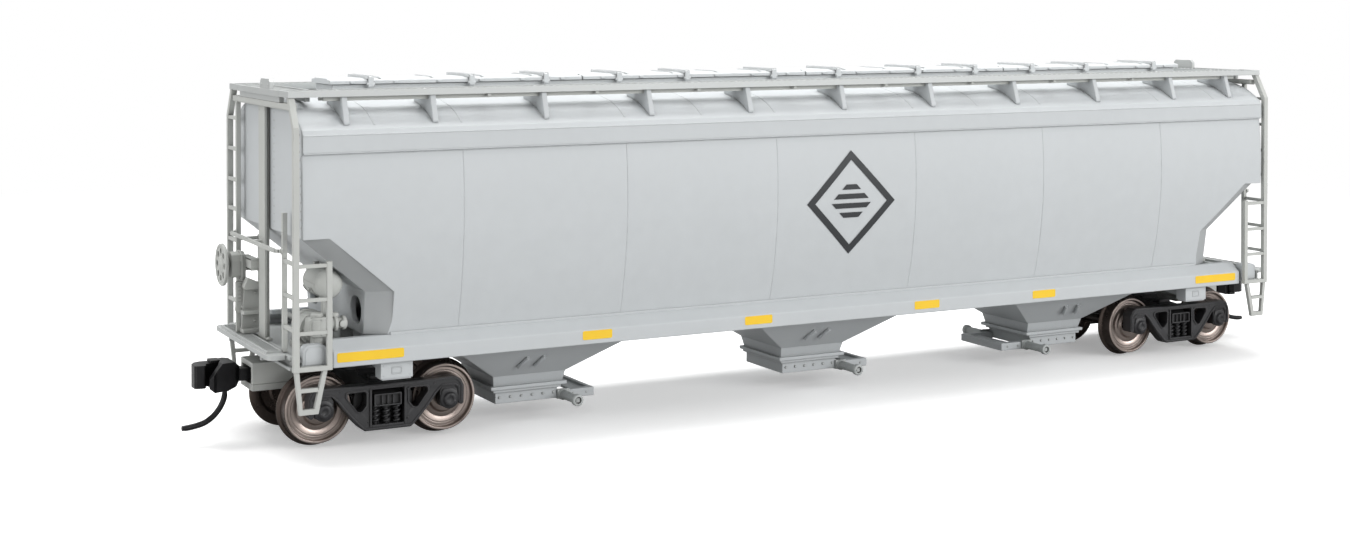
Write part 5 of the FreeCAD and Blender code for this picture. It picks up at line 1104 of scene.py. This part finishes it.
# ---------------------------------------------------------------- end platforms
for n, e in (("end_platform_b", -1), ("end_platform_a", 1)):
    P = nb(n)
    k = Kit()
    k.box(*sorted((e * 85.2, e * 95.96)), -16.75, 16.75, 13.92, 14.38)
    # end sill channel: web and two flanges
    k.box(*sorted((e * 95.98, e * 96.5)), -16.95, 16.95, 12.92, 14.98)
    k.box(*sorted((e * 96.4, e * 97.18)), -16.95, 16.95, 14.5, 14.98)
    k.box(*sorted((e * 96.4, e * 97.18)), -16.95, 16.95, 12.92, 13.35)
    for y in span(-15.5, 15.5, 10):
        k.bolt((e * 96.5, y, 13.9), (e, 0, 0), 0.2, 0.14)
    # step board with round ends
    plate(k, [fillet([(97.2, -15.4), (99.98, -15.4), (99.98, 15.4), (97.2, 15.4)], [0.3, 1.38, 1.38, 0.3], 6)],
          lambda u, v, w, e=e: (e * u, v, 14.34 + w), 0.72)
    for s in (-1, 1):
        k.prism([(s * 8.6, 13.42), (s * 9.4, 13.42), (s * 9.4, 14.4), (s * 8.6, 14.4)], "X", *sorted((e * 97.2, e * 99.3)))
        k.tube([(e * 99.2, s * 9.0, 14.2), (e * 98.2, s * 9.0, 13.6), (e * 97.3, s * 9.0, 13.2)], 0.24, 8)
    # raised tread: rim and cross bars
    k.box(*sorted((e * 99.3, e * 99.58)), -13.15, 13.15, 15.0, 15.42)
    k.box(*sorted((e * 97.25, e * 97.53)), -13.15, 13.15, 15.0, 15.42)
    y = -13.15
    while y < 13.1:
        k.box(*sorted((e * 97.5, e * 99.35)), y, y + 0.2, 15.0, 15.38)
        y += 0.62
    k.done(n + "_deck", WALK, "car_body", bevel=0.05, segs=1, replaces=(n,))
    k = Kit()
    for s in (-1, 1):
        # tie-down housing with rounded shoulders and a raised face
        for grow, y0, y1 in ((0.0, 15.76, 17.44), (-0.34, 17.4, 17.5)):
            q = fillet([(91.68 - grow, 13.24 - grow), (95.28 + grow, 13.24 - grow), (95.28 + grow, 16.58 + grow), (91.68 - grow, 16.58 + grow)],
                       [0.15, 0.15, 0.95, 0.95], 6)
            plate(k, [q], lambda u, v, w, e=e, s=s, y0=y0: (e * u, s * (y0 + w), v), y1 - y0)
        for x in (92.1, 94.9):
            k.stud((e * x, s * 17.48, 13.7), (0, s, 0), 0.13, 0.08, 8)
    k.done("tie_down_boxes_%s" % ("b" if e < 0 else "a"), GREY, "car_body", bevel=0.08, segs=2)

k = Kit()
for x0 in (-80.5, 80.5):
    for s in (-1, 1):
        y = s * 16.83
        # embossed panel, ledge and corner bolts on each jacking pad
        plate(k, [fillet([(-0.85, 11.0), (0.85, 11.0), (0.85, 12.1), (-0.85, 12.1)], 0.1, 2),
                  list(reversed(fillet([(-0.66, 11.18), (0.66, 11.18), (0.66, 11.92), (-0.66, 11.92)], 0.08, 2)))],
              lambda u, v, w, s=s, x0=x0: (x0 + u, s * (16.8 + w), v), 0.12)
        k.box(x0 - 2.3, x0 + 2.3, *sorted((s * 14.5, s * 16.7)), 10.12, 10.36)
        for u in (-2.1, 2.1):
            for z in (10.8, 12.3):
                k.stud((x0 + u, y, z), (0, s, 0), 0.12, 0.07, 8)
k.done("jacking_pad_faces", GREY, "car_body", bevel=0.03, segs=1)

# ---------------------------------------------------------------- grab irons and trip pins
k = Kit()
G = nb("end_grab_irons")
for s in (-1, 1):
    gx = s * 98.0
    path = [(s * 97.3, -s * 12.95, 30.2), (s * 97.62, -s * 12.9, 30.2), (s * 97.9, -s * 12.6, 30.2), (gx, -s * 12.1, 30.2), (gx, s * 12.1, 30.2),
            (s * 97.9, s * 12.6, 30.2), (s * 97.62, s * 12.9, 30.2), (s * 97.3, s * 12.95, 30.2)]
    for p, q in zip(path, path[1:]):
        k.bar(p, q, 0.56, 0.5, up=(0, 0, 1))
    k.box(*sorted((s * 98.24, s * 97.76)), -11.9, 11.9, 30.34, 30.49)
    k.tube([(s * 96.56, 0, 30.2), (gx, 0, 30.2)], 0.28, 10)
    for y in (-13.0, 13.0):
        k.lathe([(0, 0), (0, 0.5), (0.22, 0.45), (0.25, 0)], (s * 97.1, y, 30.2), (s, 0, 0), 12)
    k.lathe([(0, 0), (0, 0.5), (0.22, 0.45), (0.25, 0)], (s * 96.5, 0, 30.2), (s, 0, 0), 12)
k.done("grab_irons", END, "car_body", sharp=40, replaces=("end_grab_irons",))

for t, e in (("b", 1), ("a", -1)):
    k = Kit()
    base = [(-102.4, 0, 9.9), (-102.4, 0, 8.5), (-102.4, 0, 7.2), (-102.53, 0, 6.28), (-102.97, 0, 5.21), (-103.65, 0, 4.24), (-104.44, 0, 3.48),
            (-105.55, 0, 2.82), (-106.82, 0, 2.48), (-108.0, 0, 2.31), (-109.0, 0, 2.28)]
    pts = []
    for i in range(len(base) - 1):
        p0, p1, p2, p3 = [Vector(base[max(0, min(len(base) - 1, i + d))]) for d in (-1, 0, 1, 2)]
        for j in range(6):
            f = j / 6
            pts.append(0.5 * ((2 * p1) + (p2 - p0) * f + (2 * p0 - 5 * p1 + 4 * p2 - p3) * f * f + (3 * p1 - p0 - 3 * p2 + p3) * f ** 3))
    pts.append(Vector(base[-1]))
    pts = [(e * p[0], e * p[1], p[2]) for p in pts]
    k.tube(pts, 0.45, 14, taper=lambda f: 0.8 if f < 0.16 else 0.8 + 0.2 * min(1, (f - 0.16) / 0.1) - 0.15 * max(0, f - 0.92) / 0.08)
    k.done("trip_wire_%s" % t, COUPLER, "knuckle_jaw_%s" % t, sharp=50, replaces=("trip_pin_%s" % t,))

# ---------------------------------------------------------------- stage
floor = Kit()
floor.face([(-2500, -1500, 0), (2500, -1500, 0), (2500, 2600, 0), (-2500, 2600, 0)])
fm = bpy.data.meshes.new("floor")
floor.bm.verts.ensure_lookup_table()
for v in floor.bm.verts:
    v.co = v.co * MM
floor.bm.to_mesh(fm)
floor.bm.free()
fo = bpy.data.objects.new("floor", fm)
fo.location.z = cad_lo.z - 0.00002
scene.collection.objects.link(fo)
fmat = bpy.data.materials.new("pale_floor")
fmat.use_nodes = True
fb = fmat.node_tree.nodes["Principled BSDF"]
fn = fmat.node_tree.nodes.new("ShaderNodeTexNoise")
fn.inputs["Scale"].default_value = 6.0
fr = fmat.node_tree.nodes.new("ShaderNodeMix")
fr.data_type = "RGBA"
fr.inputs["A"].default_value = (0.93, 0.93, 0.93, 1)
fr.inputs["B"].default_value = (0.95, 0.95, 0.95, 1)
fmat.node_tree.links.new(fn.outputs["Fac"], fr.inputs["Factor"])
lp = fmat.node_tree.nodes.new("ShaderNodeLightPath")
fd = fmat.node_tree.nodes.new("ShaderNodeMix")
fd.data_type = "RGBA"
fd.inputs["A"].default_value = (0.42, 0.42, 0.42, 1)
fmat.node_tree.links.new(lp.outputs["Is Camera Ray"], fd.inputs["Factor"])
fmat.node_tree.links.new(fr.outputs["Result"], fd.inputs["B"])
fmat.node_tree.links.new(fd.outputs["Result"], fb.inputs["Base Color"])
fe = fmat.node_tree.nodes.new("ShaderNodeMath")
fe.operation = "MULTIPLY"
fe.inputs[1].default_value = 0.30
fmat.node_tree.links.new(lp.outputs["Is Camera Ray"], fe.inputs[0])
fmat.node_tree.links.new(fe.outputs[0], fb.inputs["Emission Strength"])
fb.inputs["Emission Color"].default_value = (1, 1, 1, 1)
fb.inputs["Roughness"].default_value = 0.9
fb.inputs["Specular IOR Level"].default_value = 0.1
# away from the model the floor fades into the white of the studio
fg = fmat.node_tree.nodes.new("ShaderNodeNewGeometry")
fl = fmat.node_tree.nodes.new("ShaderNodeVectorMath")
fl.operation = "LENGTH"
fmat.node_tree.links.new(fg.outputs["Position"], fl.inputs[0])
fmr = fmat.node_tree.nodes.new("ShaderNodeMapRange")
fmr.interpolation_type = "SMOOTHSTEP"
fmr.inputs["From Min"].default_value = 0.14
fmr.inputs["From Max"].default_value = 0.42
fmat.node_tree.links.new(fl.outputs["Value"], fmr.inputs["Value"])
fx = fmat.node_tree.nodes.new("ShaderNodeMath")
fx.operation = "MULTIPLY"
fmat.node_tree.links.new(fmr.outputs["Result"], fx.inputs[0])
fmat.node_tree.links.new(lp.outputs["Is Camera Ray"], fx.inputs[1])
fem = fmat.node_tree.nodes.new("ShaderNodeEmission")
fms = fmat.node_tree.nodes.new("ShaderNodeMixShader")
fmat.node_tree.links.new(fx.outputs[0], fms.inputs["Fac"])
fmat.node_tree.links.new(fb.outputs["BSDF"], fms.inputs[1])
fmat.node_tree.links.new(fem.outputs["Emission"], fms.inputs[2])
fmat.node_tree.links.new(fms.outputs["Shader"], fmat.node_tree.nodes["Material Output"].inputs["Surface"])
fm.materials.append(fmat)

world = bpy.data.worlds.new("studio")
scene.world = world
world.use_nodes = True
bg = world.node_tree.nodes["Background"]
bg.inputs["Color"].default_value = (1.0, 1.0, 1.0, 1)
bg.inputs["Strength"].default_value = 0.55
wl = world.node_tree.nodes.new("ShaderNodeLightPath")
wm = world.node_tree.nodes.new("ShaderNodeMath")
wm.operation = "MULTIPLY_ADD"
wm.inputs[1].default_value = 0.47
wm.inputs[2].default_value = 0.53
world.node_tree.links.new(wl.outputs["Is Camera Ray"], wm.inputs[0])
world.node_tree.links.new(wm.outputs[0], bg.inputs["Strength"])


def softbox(name, loc, aim, size, size_y, watts, color=(1, 1, 1)):
    ld = bpy.data.lights.new(name, "AREA")
    ld.shape = "RECTANGLE"
    ld.size = size
    ld.size_y = size_y
    ld.energy = watts
    ld.color = color
    lo = bpy.data.objects.new(name, ld)
    lo.location = loc
    d = Vector(aim) - Vector(loc)
    lo.rotation_mode = "QUATERNION"
    lo.rotation_quaternion = d.to_track_quat("-Z", "Y")
    scene.collection.objects.link(lo)


softbox("top", (0.02, 0.16, 0.55), (0, 0, 0.03), 0.70, 0.30, 4.2)
softbox("front", (0.50, -0.82, 0.30), (0.02, 0, 0.03), 0.8, 0.35, 5.2)
softbox("left", (-0.75, -0.10, 0.24), (-0.06, 0, 0.03), 0.4, 0.35, 1.4)
scene.view_settings.view_transform = "Standard"
scene.view_settings.look = "None"

# ---------------------------------------------------------------- camera
cam = bpy.data.cameras.new("camera")
cam.sensor_width = 36.0
cam.lens = 1878.3688 / 1350.0 * 36.0
cam.clip_start = 0.01
cam.clip_end = 10.0
co = bpy.data.objects.new("camera", cam)
R = ((0.8841810, -0.4671442, 0.0003979), (-0.0055939, -0.0114394, -0.9999189), (0.4671109, 0.8841071, -0.0127277))
C = Vector((-0.1771054, -0.2873000, 0.0672860))
co.matrix_world = Matrix(((R[0][0], -R[1][0], -R[2][0], C.x),
                          (R[0][1], -R[1][1], -R[2][1], C.y),
                          (R[0][2], -R[1][2], -R[2][2], C.z),
                          (0, 0, 0, 1)))
scene.collection.objects.link(co)
scene.camera = co
# The lens is shifted only while the camera stands close, at the main view's
# place; from any farther place the lens is centred.
for attr, value in (("shift_x", (675.0 - 666.8497) / 1350.0), ("shift_y", (26.6832 - 272.5) / 1350.0)):
    fc = cam.driver_add(attr)
    for md in list(fc.modifiers):
        fc.modifiers.remove(md)
    dv = fc.driver
    dv.type = "SUM"
    v = dv.variables.new()
    v.type = "LOC_DIFF"
    v.targets[0].id = co
    v.targets[1].id = frame["bodies"]["car_body"]
    for dist, out in ((0.2, value), (0.45, value), (0.6, 0.0), (3.0, 0.0)):
        fc.keyframe_points.insert(dist, out).interpolation = "LINEAR"
    fc.extrapolation = "CONSTANT"
    fc.update()
